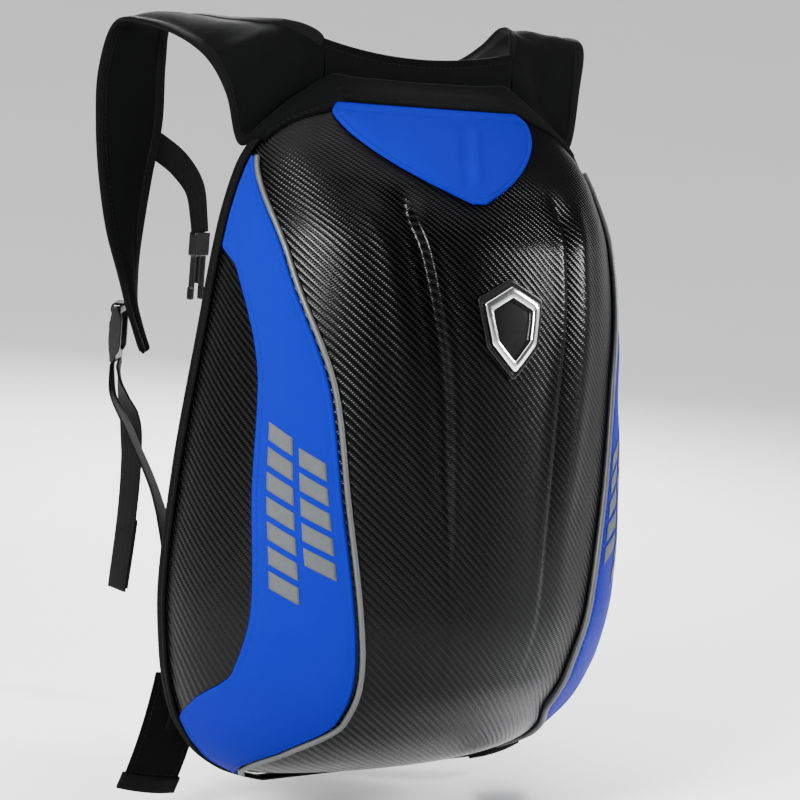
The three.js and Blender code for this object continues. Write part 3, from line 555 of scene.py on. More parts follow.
def carbon():
    """Satin moulded film with a twill of slanted cords, each made of short strands. The cord tops carry
    a painted highlight and the gaps between them painted shade.
    """
    s = Shader("moulded_shell")
    u, v, raised_cords = s.weave()
    down = s.math("SUBTRACT", v, u)
    lean = s.math("MULTIPLY_ADD", down, 0.5, s.math("ADD", u, v))
    cord = s.math("POWER", s.wave(down, TWILL_CORD * math.sqrt(2)), 1.1)
    strand = s.wave(lean, TWILL_STRAND * math.sqrt(2))
    height = s.math("MULTIPLY", cord, s.math("MULTIPLY_ADD", strand, 0.6, 0.4))
    fine = s.bump(s.noise(1400, 2), 0.05 * MM)
    normal = s.bump(s.math("MULTIPLY", height, raised_cords), TWILL_RELIEF, 1.0, fine)
    # Base colour: the raised cords are painted lighter as a painted highlight, and the gaps between them
    # darker as painted shade. A random change of tone over the shell is laid on top of this.
    tone = s.math("MULTIPLY", s.math("POWER", height, 2), s.between(s.noise(60, 3), 0.5, 1.0))
    return s.finish(Base_Color=s.blend(tone, (0.0002, 0.0002, 0.0003), (0.009, 0.009, 0.0087)),
                    Roughness=s.between(s.noise(9, 2), 0.18, 0.24), Normal=normal,
                    Specular_IOR_Level=0.08)


def woven(name, colour, pitch, roughness, sheen=0.0, worn=0.25):
    """Plain woven cloth with slubs and a soft change of tone over the piece."""
    s = Shader(name)
    u, v, _ = s.weave()
    check = s.check(u, v, pitch)
    slub = s.noise(420, 2)
    creases = s.bump(s.noise(38, 3), CREASE_RELIEF, 0.6)
    normal = s.bump(s.math("MULTIPLY_ADD", slub, 0.5, check), CLOTH_RELIEF, 1.0, creases)
    tone = s.math("MULTIPLY_ADD", check, 0.35, s.math("MULTIPLY", s.noise(6, 4), 0.65))
    low, high = (tuple(min(1, c * share) for c in colour) for share in (1 - worn, 1 + worn))
    return s.finish(Base_Color=s.blend(tone, low, high), Normal=normal, Sheen_Weight=sheen,
                    Roughness=s.between(slub, roughness - 0.06, roughness + 0.06),
                    Sheen_Roughness=0.4, Specular_IOR_Level=0.03)


def ribbed(name, colour, pitch, roughness, chevron=0.0):
    """Woven tape: ribs across it, or a herringbone where chevron is the width of its stripes."""
    s = Shader(name)
    u, v, _ = s.weave()
    if chevron:
        v = s.math("MULTIPLY_ADD", s.math("PINGPONG", u, chevron), 0.8, v)
    rib = s.wave(v, pitch)
    height = s.math("MULTIPLY_ADD", s.wave(u, pitch * 0.8), 0.35, rib)
    normal = s.bump(height, TAPE_RELIEF, 1.0, s.bump(s.noise(300, 2), 0.1 * MM))
    low = tuple(c * 0.55 for c in colour)
    return s.finish(Base_Color=s.blend(rib, low, colour), Roughness=roughness, Normal=normal,
                    Specular_IOR_Level=0.05)


def reflective():
    """Grey tape of tiny glass beads, a little scuffed."""
    s = Shader("piping")
    beads = s.node("ShaderNodeTexVoronoi", Vector=s.place(), Scale=1800).outputs["Distance"]
    scuff = s.noise(70, 4)
    return s.finish(Base_Color=s.blend(scuff, (0.016, 0.017, 0.018), (0.034, 0.036, 0.037)),
                    Roughness=s.between(scuff, 0.38, 0.55), Normal=s.bump(beads, 0.08 * MM),
                    Specular_IOR_Level=0.6)


def printed():
    """Screen printed grey ink that lets the weave show through."""
    s = Shader("print_ink")
    u, v, _ = s.weave()
    check = s.check(u, v, PRINT_WEAVE)
    worn = s.math("MULTIPLY_ADD", s.noise(240, 4), 0.7, s.math("MULTIPLY", check, 0.3))
    return s.finish(Base_Color=s.blend(worn, (0.032, 0.036, 0.04), (0.06, 0.065, 0.07)),
                    Roughness=0.6, Normal=s.bump(check, 0.1 * MM), Specular_IOR_Level=0.2)


def moulded(name, colour, roughness):
    """Injection moulded plastic: a fine spark texture and slight flow marks."""
    s = Shader(name)
    flow = s.noise(45, 3)
    low = tuple(c * 0.8 for c in colour)
    return s.finish(Base_Color=s.blend(flow, low, colour), Specular_IOR_Level=0.22,
                    Normal=s.bump(s.noise(2200, 2), 0.05 * MM, 0.6),
                    Roughness=s.between(flow, roughness - 0.05, roughness + 0.06))


def bright_metal():
    """Polished plating with faint brush marks."""
    s = Shader("bright_metal")
    stretched = s.node("ShaderNodeMapping", Vector=s.place(), Scale=(900, 900, 60)).outputs["Vector"]
    marks = s.noise(1, 2, stretched)
    return s.finish(Base_Color=s.blend(marks, (0.82, 0.82, 0.83), (0.93, 0.93, 0.94)), Metallic=1.0,
                    Roughness=s.between(marks, 0.12, 0.24), Normal=s.bump(marks, 0.03 * MM, 0.5))


def spacer_mesh():
    """Open knit of the pads that lie on the wearer's back."""
    s = Shader("spacer_mesh")
    holes = s.node("ShaderNodeTexVoronoi", Vector=s.place(), Scale=330).outputs["Distance"]
    open_part = s.math("SMOOTH_MIN", holes, 0.45, 0.2)
    normal = s.bump(open_part, MESH_RELIEF, 1.0, s.bump(s.noise(40, 3), 0.8 * MM, 0.4))
    return s.finish(Base_Color=s.blend(holes, (0.009, 0.0092, 0.0096), (0.002, 0.002, 0.0021)),
                    Roughness=0.85, Normal=normal, Sheen_Weight=0.05, Sheen_Roughness=0.5,
                    Specular_IOR_Level=0.2)


MATERIALS = {
    "shell": (carbon(), "moulded_shell"),
    "blue": (woven("blue_cloth", (0.0, 0.003, 0.2), 0.9 * MM, 0.5, worn=0.15), "blue_cloth"),
    "black": (woven("black_cloth", (0.0009, 0.001, 0.001), 1.0 * MM, 0.8, 0.008, 0.4), "black_cloth"),
    "mesh": (spacer_mesh(), "black_cloth"),
    "tape": (ribbed("binding_tape", (0.0013, 0.0013, 0.0014), 1.2 * MM, 0.7), "black_cloth"),
    "webbing": (ribbed("webbing", (0.002, 0.002, 0.0022), 1.7 * MM, 0.62, 3.2 * MM), "webbing"),
    "piping": (reflective(), "piping"),
    "print": (printed(), "piping"),
    "plastic": (moulded("black_plastic", (0.003, 0.003, 0.0032), 0.26), "black_plastic"),
    "metal": (bright_metal(), "bright_metal"),
    "thread": (woven("thread", (0.005, 0.005, 0.0052), 0.5 * MM, 0.6), "black_cloth"),
    "blue_thread": (woven("blue_thread", (0.0004, 0.008, 0.2), 0.5 * MM, 0.6), "blue_cloth"),
}


def dress(obj, finish, *nodes):
    """Gives a piece its finish, lets it ride on the pack and stand for CAD nodes."""
    material, slot = MATERIALS[finish]
    obj.data.materials.clear()
    obj.data.materials.append(material)
    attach(obj, "root")
    if nodes:
        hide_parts(*nodes)
    return obj


def dress_pair(obj, finish, *nodes):
    """Dresses a left piece, and its mirror image with right in its names."""
    dress(obj, finish, *nodes)
    other = mirror_of(obj, obj.name.replace("left", "right"))
    dress(other, finish, *[node.replace("left", "right") for node in nodes])


# The shell's surface

def paired(level, angle):
    return np.broadcast_arrays(np.asarray(level, float), np.asarray(angle, float))


def shell_point(level, angle):
    """Smooth outside of the shell: an ellipse at each level, degrees from its front."""
    level, angle = paired(level, angle)
    turn = np.radians(angle)
    width = HALF_WIDTH * along(OUTLINE, "width", level)
    depth = DEPTH * along(OUTLINE, "depth", level)
    return np.stack([width * np.sin(turn), RIM_Y - depth * np.cos(turn), -HEIGHT * level], -1)


def shell_normal(level, angle):
    """Outward direction there. Along the rim it lies in the rim's plane."""
    level, angle = paired(level, angle)
    step = 0.004
    above, below = np.maximum(0, level - step), np.minimum(1, level + step)
    down = shell_point(below, angle) - shell_point(above, angle)
    round_ = shell_point(level, angle + 0.5) - shell_point(level, angle - 0.5)
    normal = np.cross(down, round_)
    flat = np.abs(angle) > 89.9
    normal[..., 1] = np.where(flat, 0, normal[..., 1])
    ends = (level <= 0) | (level >= 1)
    upright = np.zeros_like(normal)
    upright[..., 2] = np.where(level <= 0, 1, -1)
    return np.where(ends[..., None], upright, unit(normal))


def raised(level, angle, height):
    height = np.broadcast_to(np.asarray(height, float), np.broadcast(level, angle).shape)
    return shell_point(level, angle) + shell_normal(level, angle) * height[..., None]


def side_lines(level):
    """The lines that run down one side of the shell, as degrees at each level."""
    width = HALF_WIDTH * along(OUTLINE, "width", level)
    depth = DEPTH * along(OUTLINE, "depth", level)
    share = np.minimum(0.35, (BAND_DEPTH + 2 * SEAT_GAP) / np.maximum(MM, depth))
    per_degree = math.radians(1) * np.hypot(width, depth) * math.sqrt(0.5)
    margin = PIPING_TO_PANEL / per_degree
    rear = np.minimum(along(SIDE_LINES, "rear", level), np.degrees(np.arccos(share)))
    panel = np.minimum(along(SIDE_LINES, "piping", level) + margin, rear - margin)
    piping = panel - margin
    crest = np.minimum(along(RIBS, "crest", level), 0.34 * piping)
    shoulder = np.minimum(along(RIBS, "shoulder", level), 0.7 * piping)
    return crest, shoulder, piping, panel, rear


def relief(level, angle):
    """Height of the moulded ribs over the smooth dome, and how far the film is stretched there.

    A crisp edge drops into a groove, whose far side rises to a soft full shoulder.
    """
    crest, shoulder, *_ = side_lines(level)
    strength = along(RIBS, "relief", level)
    across = np.abs(angle)
    rise = EDGE_CREST * smooth((across / crest - CREST_START) / (1 - CREST_START)) ** 2
    t = (across - crest) / (shoulder - crest)
    fall = EDGE_CREST - (EDGE_CREST + GROOVE_DEPTH) * smooth(t / GROOVE_SHARE)
    climb = -GROOVE_DEPTH * (1 - np.clip((t - GROOVE_SHARE) / (1 - GROOVE_SHARE), 0, 1)) ** 1.7
    height = np.where(across <= crest, rise, np.where(t < GROOVE_SHARE, fall, climb))
    full = SHOULDER_FULLNESS * np.exp(-((t - 1.1) / 0.35) ** 2)
    stretched = strength * (np.exp(-((t - 0.05) / 0.25) ** 2) + 0.5 * np.exp(-((t - 0.9) / 0.35) ** 2))
    return strength * (height + full), stretched


# Lengths round and down the surface at a grid of levels and degrees
LENGTH_LEVELS = np.linspace(0, 1, 241)
LENGTH_ANGLES = np.linspace(0, 90, 91)
length_grid = shell_point(LENGTH_LEVELS[:, None], LENGTH_ANGLES[None, :])
LENGTHS = []
for axis, margins in ((1, ((0, 0), (1, 0))), (0, ((1, 0), (0, 0)))):
    length_steps = np.linalg.norm(np.diff(length_grid, axis=axis), axis=2)
    LENGTHS.append(np.pad(np.cumsum(length_steps, axis=axis), margins))


def shell_weave(level, angle):
    """Lengths round and down the surface at a place on the shell."""
    level, angle = paired(level, angle)
    i = np.clip(level * (len(LENGTH_LEVELS) - 1), 0, len(LENGTH_LEVELS) - 1.001)
    j = np.clip(np.abs(angle), 0, 89.999)
    a, b = i.astype(int), j.astype(int)
    f, g = i - a, j - b
    values = []
    for grid in LENGTHS:
        top = grid[a, b] * (1 - g) + grid[a, b + 1] * g
        low = grid[a + 1, b] * (1 - g) + grid[a + 1, b + 1] * g
        values.append(top * (1 - f) + low * f)
    return np.stack([np.sign(angle) * values[0], values[1]], -1)


def build_shell():
    level = ends_closer(170, 0.5)
    marks = [0 * level, *side_lines(level), 0 * level + 90]
    counts = [14, 16, 30, 2, 6, 12]
    half = np.concatenate([a[:, None] + (b - a)[:, None] * np.linspace(0, 1, n, endpoint=False)
                           for a, b, n in zip(marks, marks[1:], counts)] + [marks[-1][:, None]], 1)
    angle = np.concatenate([-half[:, :0:-1], half], 1)
    levels = np.broadcast_to(level[:, None], angle.shape)
    ribs, stretched = relief(levels, angle)
    cords = 1 - 0.8 * np.clip(stretched, 0, 1)
    weave = np.concatenate([shell_weave(levels, angle), cords[..., None]], -1)
    shell = closed_sheet("shell", raised(levels, angle, ribs), raised(levels, angle, ribs - WALL), weave)
    dress(shell, "shell", "hard_shell")


# Cloth on the sides of the shell

EDGE_ROLL = 1.4 * MM
SEAM_DEPTH = 0.45 * MM
SEAM_SPREAD = 0.9 * MM
PUCKER_HEIGHT = 0.16 * MM
PUCKER_REACH = 9 * MM
PUCKER_PITCH = 4.4 * MM
PRINT_LIFT = 0.12 * MM
PRINT_ROWS = ((0.475, 0.29, 5), (0.446, 0.66, 7))
BAR_TALL = 0.0245
BAR_WIDE = 0.3
BAR_SLANT = 0.018
BAR_PITCH = 1.36


def panel_levels(count, ease):
    return PANEL_TOP_LEVEL + (PANEL_BOTTOM_LEVEL - PANEL_TOP_LEVEL) * ends_closer(count, ease)


def panel_height(width, t, level):
    """Height of the cloth over the shell: rolled edges, a seam beside each and light puckers."""
    near = width * np.minimum(t, 1 - t)
    roll = np.sqrt(np.clip(near / EDGE_ROLL, 0, 1))
    seam = SEAM_DEPTH * np.exp(-((near - SEAM_INSET) / SEAM_SPREAD) ** 2)
    puckers = np.sin(level * HEIGHT / PUCKER_PITCH + 2.3 * np.sin(level * 40))
    pull = np.exp(-near / PUCKER_REACH) * puckers
    slack = np.sin(math.pi * np.clip(t, 0, 1)) ** 2
    billow = 0.55 * np.sin(level * 21 + 2.2 * t) + 0.4 * np.sin(level * 47 - 4 * t) + 0.3
    return PANEL_THICKNESS * roll - seam + PUCKER_HEIGHT * pull * roll + MM * slack * billow


def panel_place(level, t):
    _, _, _, panel, rear = side_lines(level)
    angle = -(panel + (rear - panel) * t)
    width = np.abs(shell_weave(level, -rear)[..., 0] - shell_weave(level, -panel)[..., 0])
    return angle, width


def panel_point(level, t, extra=0.0):
    angle, width = panel_place(level, t)
    return raised(level, angle, 2 * SEAT_GAP + panel_height(width, t, level) + extra)


def build_panels():
    level = panel_levels(190, 0.55)
    levels, shares = np.meshgrid(level, ends_closer(34, 0.75), indexing="ij")
    angle, width = panel_place(levels, shares)
    outer = panel_point(levels, shares)
    inner = raised(levels, angle, 2 * SEAT_GAP)
    weave = shell_weave(levels, angle)
    edge = level[4:-4]
    inset = SEAM_INSET / panel_place(edge, 0)[1]
    seams = [panel_point(edge, share) for share in (inset, 1 - inset)]
    for side, name in SIDES:
        turn = np.array([side, 1, 1])
        panel = closed_sheet(f"side_panel_cloth_{name}", outer * turn, inner * turn, weave * [side, 1])
        dress(panel, "blue", f"side_panel_{name}")
        normals = shell_normal(edge, -60) * turn
        threads = stitch_rows(f"panel_stitches_{name}", [(seam * turn, normals) for seam in seams])
        dress(threads, "blue_thread")
        build_print(name, turn)


def build_print(name, turn):
    """Two rows of plain slanted bars in the place of the lettering."""
    s, w = np.meshgrid(np.linspace(0, 1, 7), np.linspace(0, 1, 9), indexing="ij")
    bars = []
    for start, share, count in PRINT_ROWS:
        for k in range(count):
            level = start + BAR_TALL * (BAR_PITCH * k + s) + BAR_SLANT * (1 - w)
            t = share + BAR_WIDE * (w - 0.5)
            weave = shell_weave(level, panel_place(level, t)[0])
            top = panel_point(level, t, PRINT_LIFT + PRINT_THICKNESS) * turn
            low = panel_point(level, t, PRINT_LIFT) * turn
            bars.append(closed_sheet("bar", top, low, weave))
    return dress(join(f"panel_bars_{name}", bars), "print")


def build_piping():
    level = panel_levels(200, 0.5)
    piping = side_lines(level)[2]
    radius = PIPING_RADIUS * 0.86
    centre = raised(level, -piping, SEAT_GAP + radius)
    way = unit(np.gradient(centre, axis=0))
    across = unit(np.cross(way, shell_normal(level, -piping)))
    over = np.cross(across, way)
    length = run_length(centre)[:, None]
    turn = np.linspace(0, 2 * math.pi, 14, endpoint=False)
    knots = radius * (1 + 0.03 * np.sin(length / (2.1 * MM)))
    rings = centre[:, None] + knots[..., None] * (
        np.cos(turn)[:, None] * across[:, None] + np.sin(turn)[:, None] * over[:, None])
    weave = np.stack(np.broadcast_arrays(turn * PIPING_RADIUS, length), -1)
    for side, name in SIDES:
        dress(loft(f"piping_tape_{name}", rings * [side, 1, 1], weave), "piping", f"piping_{name}")


# Rim and back

BINDING_SECTION = np.array([
    (-1, 0), (-1, 0.55), (-0.93, 0.9), (-0.8, 0.94), (-0.66, 0.78), (-0.58, 0.62), (-0.5, 0.78),
    (-0.3, 1), (-0.1, 0.98), (-0.01, 0.7), (0, 0.1)])
BINDING_SEAM = (-0.58, 0.62)
PAD_MARGIN = 4 * MM
PAD_EDGE = 7 * MM
CHANNEL_SLOPE = 6 * MM
PAD_SEAM_SPREAD = 2.6 * MM
PAD_SHEET = 0.1 * MM


def rim_loop():
    """Rim of the shell in its plane, pushed out by the gap, with directions out of it."""
    side = shell_point(ends_closer(240, 0.6), 90.0)
    loop = np.concatenate([side, (side * MIRROR)[::-1]])
    steps = (loop - np.roll(loop, 1, 0), np.roll(loop, -1, 0) - loop)
    before, after = (unit(np.stack([-e[:, 2], 0 * e[:, 0], e[:, 0]], 1)) for e in steps)
    middle = unit(before + after)
    scale = np.sum(middle * before, axis=1, keepdims=True)
    return loop + middle * SEAT_GAP / np.maximum(scale, 0.5), middle


def build_binding():
    base, out = rim_loop()
    behind = np.array([[0, 1.0, 0]])
    size = np.array([BAND_DEPTH, BAND_THICKNESS])
    binding = sweep("binding", base, behind, out, BINDING_SECTION * size, closed=True)
    dress(binding, "tape", "rear_binding")
    back, rise = BINDING_SEAM * size
    dress(stitches("binding_stitches", base + behind * back + out * rise, out), "thread")


def back_outline(side_inset, top_inset, y):
    """Outline of the padded back at a depth, from the top corner round the bottom."""
    yoke_half = STRAP_SPREAD * LEFT_STRAP["neckX"][0] - 2 * SEAT_GAP
    level = BACK_CORNER_LEVEL + (1 - BACK_CORNER_LEVEL) * ends_closer(90, 0.6)
    side = raised(level, 90.0, -side_inset - BACK_MARGIN)
    top = np.array([yoke_half - BACK_EDGE_ROUND - side_inset / 2, y,
                    YOKE_BOTTOM - 2 * SEAT_GAP - top_inset])
    edge = np.linspace(0, 1, 12)[:-1, None] * (side[0] - top) + top
    half = np.concatenate([edge, side])
    middle = np.linspace(0, 1, 14)[1:-1, None] * (top - top * MIRROR) + top * MIRROR
    loop = np.concatenate([half, (half * MIRROR)[::-1], middle])
    loop[:, 1] = y
    return loop


def build_back():
    behind = np.array([0, 0.04, 0.3, 0.5, 0.62, 0.72, 0.82, 0.9, 0.96, 0.985, 1.0])
    taper, round_ = (along(BACK_SECTION, key, behind) for key in ("taper", "round"))
    inset = BACK_TAPER * taper + BACK_EDGE_ROUND * round_ + SEAT_GAP
    front = RIM_Y + SEAT_GAP
    y = np.maximum(front * (1 - behind) - PAD_RELIEF * smooth((behind - 0.6) / 0.4), front)
    rings = np.array([back_outline(*row) for row in zip(inset, BACK_EDGE_ROUND * round_, y)])
    back = dress(loft("back_cloth", rings, rings[..., [0, 2]]), "black", "back_panel")
    build_pads(rings[-1])


def build_pads(outline):
    """Mesh covered pads on the back, with an air channel down the middle and seams across."""
    right = outline[outline[:, 0] > 0]
    right = right[np.argsort(right[:, 2])]
    top, bottom = outline[:, 2].max() - PAD_MARGIN, outline[:, 2].min() + 3 * MM
    z, s = np.meshgrid(np.linspace(top, bottom, 190), 1 - 2 * ends_closer(110, 0.3), indexing="ij")
    half = np.interp(z, right[:, 2], right[:, 0]) - PAD_MARGIN
    x = half * s
    near = np.minimum(half * (1 - np.abs(s)), np.minimum(top - z, z - bottom))
    edge = np.sqrt(np.clip(near / PAD_EDGE, 0, 1))
    channel = smooth((PAD_CHANNEL - np.abs(x)) / CHANNEL_SLOPE)
    across = sum(np.exp(-((z + HEIGHT * place) / PAD_SEAM_SPREAD) ** 2) for place in PAD_SEAMS)
    full = edge * (1 - 0.85 * channel) * (1 - 0.75 * across * (1 - channel))
    low = PAD_SHEET - PAD_RELIEF
    outer = np.stack([x, low + PAD_SHEET + (PAD_RELIEF - 3 * PAD_SHEET) * full, z], -1)
    inner = np.stack([x, low + 0 * x, z], -1)
    pads = dress(closed_sheet("back_pads", outer, inner, np.stack([x, z], -1)), "mesh")


# Padded pieces

SOFT = []
CLOTH = {
    "quality": 5, "mass": 0.3, "tension_stiffness": 12, "compression_stiffness": 6,
    "bending_stiffness": 0.3, "use_pressure": True, "vertex_group_mass": "seams"}
STEPS = 20
CREASE_SIZE = 34 * MM
WRINKLE_SIZE = 13 * MM
ROOT_REACH = 90 * MM
TAPE_SECTION = np.array([
    (0.98, 0.5), (0.9, 0.74), (0.5, 0.8), (0.08, 0.72), (-0.06, 0.3), (-0.06, -0.3), (0.08, -0.72),
    (0.5, -0.8), (0.9, -0.74), (0.98, -0.5)])
STRAP_CREASES = 1.7 * MM
YOKE_CREASES = 0.8 * MM
YOKE_SEAM_INSET = 5.4 * MM


def band(name, inner, outer, half, columns, hem=HEM, creases=0):
    """Closed pad between two edge lines, thin in the hems and full between the seams.

    Gives it back with the points that its seams and ends hold, and the middle line's normals.
    """
    t = ends_closer(columns, 0.45)
    base = inner[:, None] + (outer - inner)[:, None] * t[None, :, None]
    middle = (inner + outer) / 2
    normal = unit(np.cross(np.gradient(middle, axis=0), outer - inner))
    width = np.linalg.norm(outer - inner, axis=1)[:, None]
    near = np.minimum(t * width, (1 - t) * width)
    inside = np.clip((near - hem) / np.maximum(width / 2 - hem, MM), 0, 1)
    fullness = 0.34 + 0.66 * (1 - (1 - inside) ** 2.2)
    fullness = np.where(near < hem, 0.3 + 0.04 * near / hem, fullness)
    length = run_length(middle)[:, None]
    if creases:
        ridges = 1 - 3 * np.abs(rumple(base, CREASE_SIZE, columns)) + 0.4 * rumple(base, WRINKLE_SIZE, 5)
        root = 0.3 + 0.7 * np.exp(-(length / ROOT_REACH) ** 2)
        shift = creases * ridges * root * np.clip(near / (2.2 * hem), 0, 1) ** 2
        base = base + normal[:, None] * shift[..., None]
    lift = normal[:, None] * (fullness * half)[..., None]
    weave = np.stack(np.broadcast_arrays((t - 0.5) * width, length), -1)
    held = near < hem * 1.05
    held[:2] = held[-2:] = True
    held = np.nonzero(np.stack([held, held]).ravel())[0].tolist()
    return closed_sheet(name, base + lift, base - lift, weave), held, normal


def swell(obj, held, pressure, cap):
    """Notes a pad for the cloth simulation, with the points that its seams hold."""
    SOFT.append((obj, held, pressure, cap))


def simulate():
    """Blows all noted pads up together, caps how far each point moves, and keeps the result."""
    for obj, held, pressure, _ in SOFT:
        obj.vertex_groups.new(name="seams").add(held, 1.0, "REPLACE")
        cloth = obj.modifiers.new("air", "CLOTH")
        for key, value in CLOTH.items():
            setattr(cloth.settings, key, value)
        cloth.settings.uniform_pressure_force = pressure
        cloth.settings.effector_weights.gravity = 0
        cloth.point_cache.frame_start = 1
        cloth.point_cache.frame_end = STEPS
    for number in range(1, STEPS + 1):
        SCENE.frame_set(number)
    depsgraph = bpy.context.evaluated_depsgraph_get()
    moved = []
    for obj, *_ in SOFT:
        shape = obj.evaluated_get(depsgraph).to_mesh()
        moved.append(np.zeros(len(shape.vertices) * 3))
        shape.vertices.foreach_get("co", moved[-1])
        obj.evaluated_get(depsgraph).to_mesh_clear()
    for (obj, _, _, cap), spots in zip(SOFT, moved):
        obj.modifiers.remove(obj.modifiers["air"])
        rest = np.zeros(len(spots))
        obj.data.vertices.foreach_get("co", rest)
        shift = (spots - rest).reshape(-1, 3)
        size = np.linalg.norm(shift, axis=1, keepdims=True)
        shift *= np.minimum(1, cap / np.maximum(size, 1e-9))
        obj.data.vertices.foreach_set("co", rest + shift.ravel())
        obj.data.update()
    SCENE.frame_set(1)


def settle():
    simulate()
    for obj, *_ in SOFT:
        fine = obj.modifiers.new("fine", "SUBSURF")
        fine.levels = fine.render_levels = 1


def strap_edges(rows, count):
    shares = np.linspace(0, 1, count + 1)
    edges = []
    for key in ("neck", "out"):
        x, y, z = (rows[key + axis] for axis in "XYZ")
        points = np.stack([-STRAP_SPREAD * x, RIM_Y + STRAP_REACH * y,
                           np.where(z > 0, STRAP_RISE, STRAP_DROP) * z], 1)
        edges.append(curve_through(points, shares))
    return edges


def edge_tape(edge, other, normal, half):
    """Tape folded round one edge of a strap."""
    return sweep("tape", edge, unit(other - edge), normal, TAPE_SECTION * [HEM, half])


def build_strap(name, rows, side):
    neck, outer = (edge * [side, 1, 1] for edge in strap_edges(rows, 120))
    half = PAD_THICKNESS / 2
    pad, held, normal = band(f"strap_pad_{name}", neck, outer, half * 0.94, columns=22,
                             creases=STRAP_CREASES)
    swell(pad, held, pressure=3.0, cap=2.5 * MM)
    tapes, threads = [], []
    for edge, other in ((neck, outer), (outer, neck)):
        tapes.append(edge_tape(edge[2:-1], other[2:-1], normal[2:-1], half * 0.5))
        seam = edge + unit(other - edge) * HEM * 0.8
        threads += [((seam + normal * sign * half * 0.39)[3:-3], (normal * sign)[3:-3])
                    for sign in (1, -1)]
    dress(join(f"strap_tape_{name}", tapes), "tape")
    dress(stitch_rows(f"strap_stitches_{name}", threads), "thread")
    dress(pad, "black", f"shoulder_strap_{name}")


def build_yoke():
    half_width = STRAP_SPREAD * LEFT_STRAP["neckX"][0] + SEAM_OVERLAP
    t = np.linspace(-1, 1, 49)
    y = RIM_Y + LEFT_STRAP["neckY"][0] * STRAP_REACH + 0 * t
    top, low = (np.stack([t * half_width, y, z], 1)
                for z in (YOKE_DIP + (YOKE_TOP - YOKE_DIP) * t * t, YOKE_BOTTOM + 0 * t))
    pad, held, normal = band("yoke_cloth", top, low, PAD_THICKNESS / 2 * 0.95, columns=14, hem=6 * MM,
                             creases=YOKE_CREASES)
    swell(pad, held, pressure=3.0, cap=2.0 * MM)
    inset = np.array([0, 0, YOKE_SEAM_INSET])
    threads = [(line + normal * sign * PAD_THICKNESS * 0.16, normal * sign)
               for line in (top - inset, low + inset) for sign in (1, -1)]
    dress(stitch_rows("yoke_stitches", threads), "thread")
    dress(pad, "black", "yoke")


def eased(line):
    """Line of points with its corners rounded off; its ends stay."""
    line = line.copy()
    for _ in range(8):
        line[1:-1] = (line[:-2] + 2 * line[1:-1] + line[2:]) / 4
    return line


APRON_SECTION = (
    (0, 0.5, 0), (0.02, 1.3, 0), (0.08, 1.9, 0), (0.16, 2.1, 0), (0.27, 2.5, 0), (0.42, 3.5, 0),
    (0.6, 4.4, 0.05), (0.75, 4.4, 0.15), (0.88, 4.4, 0.4), (1, 4.4, 0.8), (1, 4.4, 1))
APRON_THICKNESS = 1.1 * MM
APRON_FOLDS = 0.35 * MM
CORNER_RISE = 1.8 * MM
CORNER_REACH = 14 * MM


def build_apron():
    """Cloth of the yoke and the strap roots that laps over the binding onto the shell.

    Its rows run from the front edge, which lies on the shell, back to the rim and up to the yoke.
    Each row of its section has a share of the way back, a height in mm and a share of the lap.
    """
    side = APRON_LEVEL * (1 - ends_closer(40, 0.3))
    over = np.linspace(90, -90, 46)[1:-1]
    level = np.concatenate([side, 0 * over, side[::-1]])
    x = shell_point(level, np.concatenate([90 + 0 * side, over, -90 + 0 * side]))[:, 0]
    run = run_length(np.stack([x, RIM_Y + 0 * x, -HEIGHT * level], 1))
    middle = smooth(np.minimum(run, run[-1] - run) / (0.25 * run[-1]))
    front_level = level + APRON_FRONT * middle
    front_x = x * (0.984 + 0.012 * middle)
    past_corner = level * HEIGHT + HALF_WIDTH * OUTLINE["width"][0] - np.abs(x)
    corner = CORNER_RISE * np.exp(-(past_corner / CORNER_REACH) ** 2)
    folds = APRON_FOLDS * np.sin(run / (11 * MM) + 2 * np.sin(run / (31 * MM)))
    outer, inner, normals = [], [], []
    for back, height, lift in APRON_SECTION:
        row_level = front_level + (level - front_level) * back
        row_x = front_x + (x - front_x) * back
        sine = np.clip(row_x / (HALF_WIDTH * along(OUTLINE, "width", row_level)), -1, 1)
        angle = np.degrees(np.arcsin(sine))
        rise = height * MM + APRON_LAP * lift * middle + folds * min(1, 3 * back) + corner * back
        behind = [0, 0.1 * BAND_DEPTH * (lift == 1), 0]
        outer.append(raised(row_level, angle, rise) + behind)
        inner.append(raised(row_level, angle, np.maximum(rise - APRON_THICKNESS, 0.15 * MM)) + behind)
        normals.append(shell_normal(row_level, angle))
    outer, inner = eased(np.stack(outer, 1)), eased(np.stack(inner, 1))
    across = np.array([row[0] for row in APRON_SECTION]) * 20 * MM
    weave = np.stack(np.broadcast_arrays(run[:, None], across), -1)
    dress(closed_sheet("yoke_apron", outer, inner, weave), "black")
    threads = [(outer[4:-4, row], normals[row][4:-4]) for row in (3, 4)]
    dress(stitch_rows("yoke_apron_stitches", threads), "thread")


FLAP_EDGE = 2.2 * MM
FLAP_SEAM_INSET = 5 * MM
FLAP_CREASE = 1.9 * MM
FLAP_RIPPLE = 0.8 * MM


def flap_folds(side, down):
    """Soft creases that run from the flap's top edge down to its tip."""
    slanted = side + 0.55 * down - 0.02
    ridge = np.exp(-((slanted - 0.012) / (3.2 * MM)) ** 2)
    hollow = np.exp(-((slanted - 0.004) / (4 * MM)) ** 2)
    ripple = 0.35 * np.sin(slanted / (5.5 * MM) + 1.4 * np.sin(down / (14 * MM)))
    return FLAP_CREASE * (ridge - 0.8 * hollow) + FLAP_RIPPLE * ripple


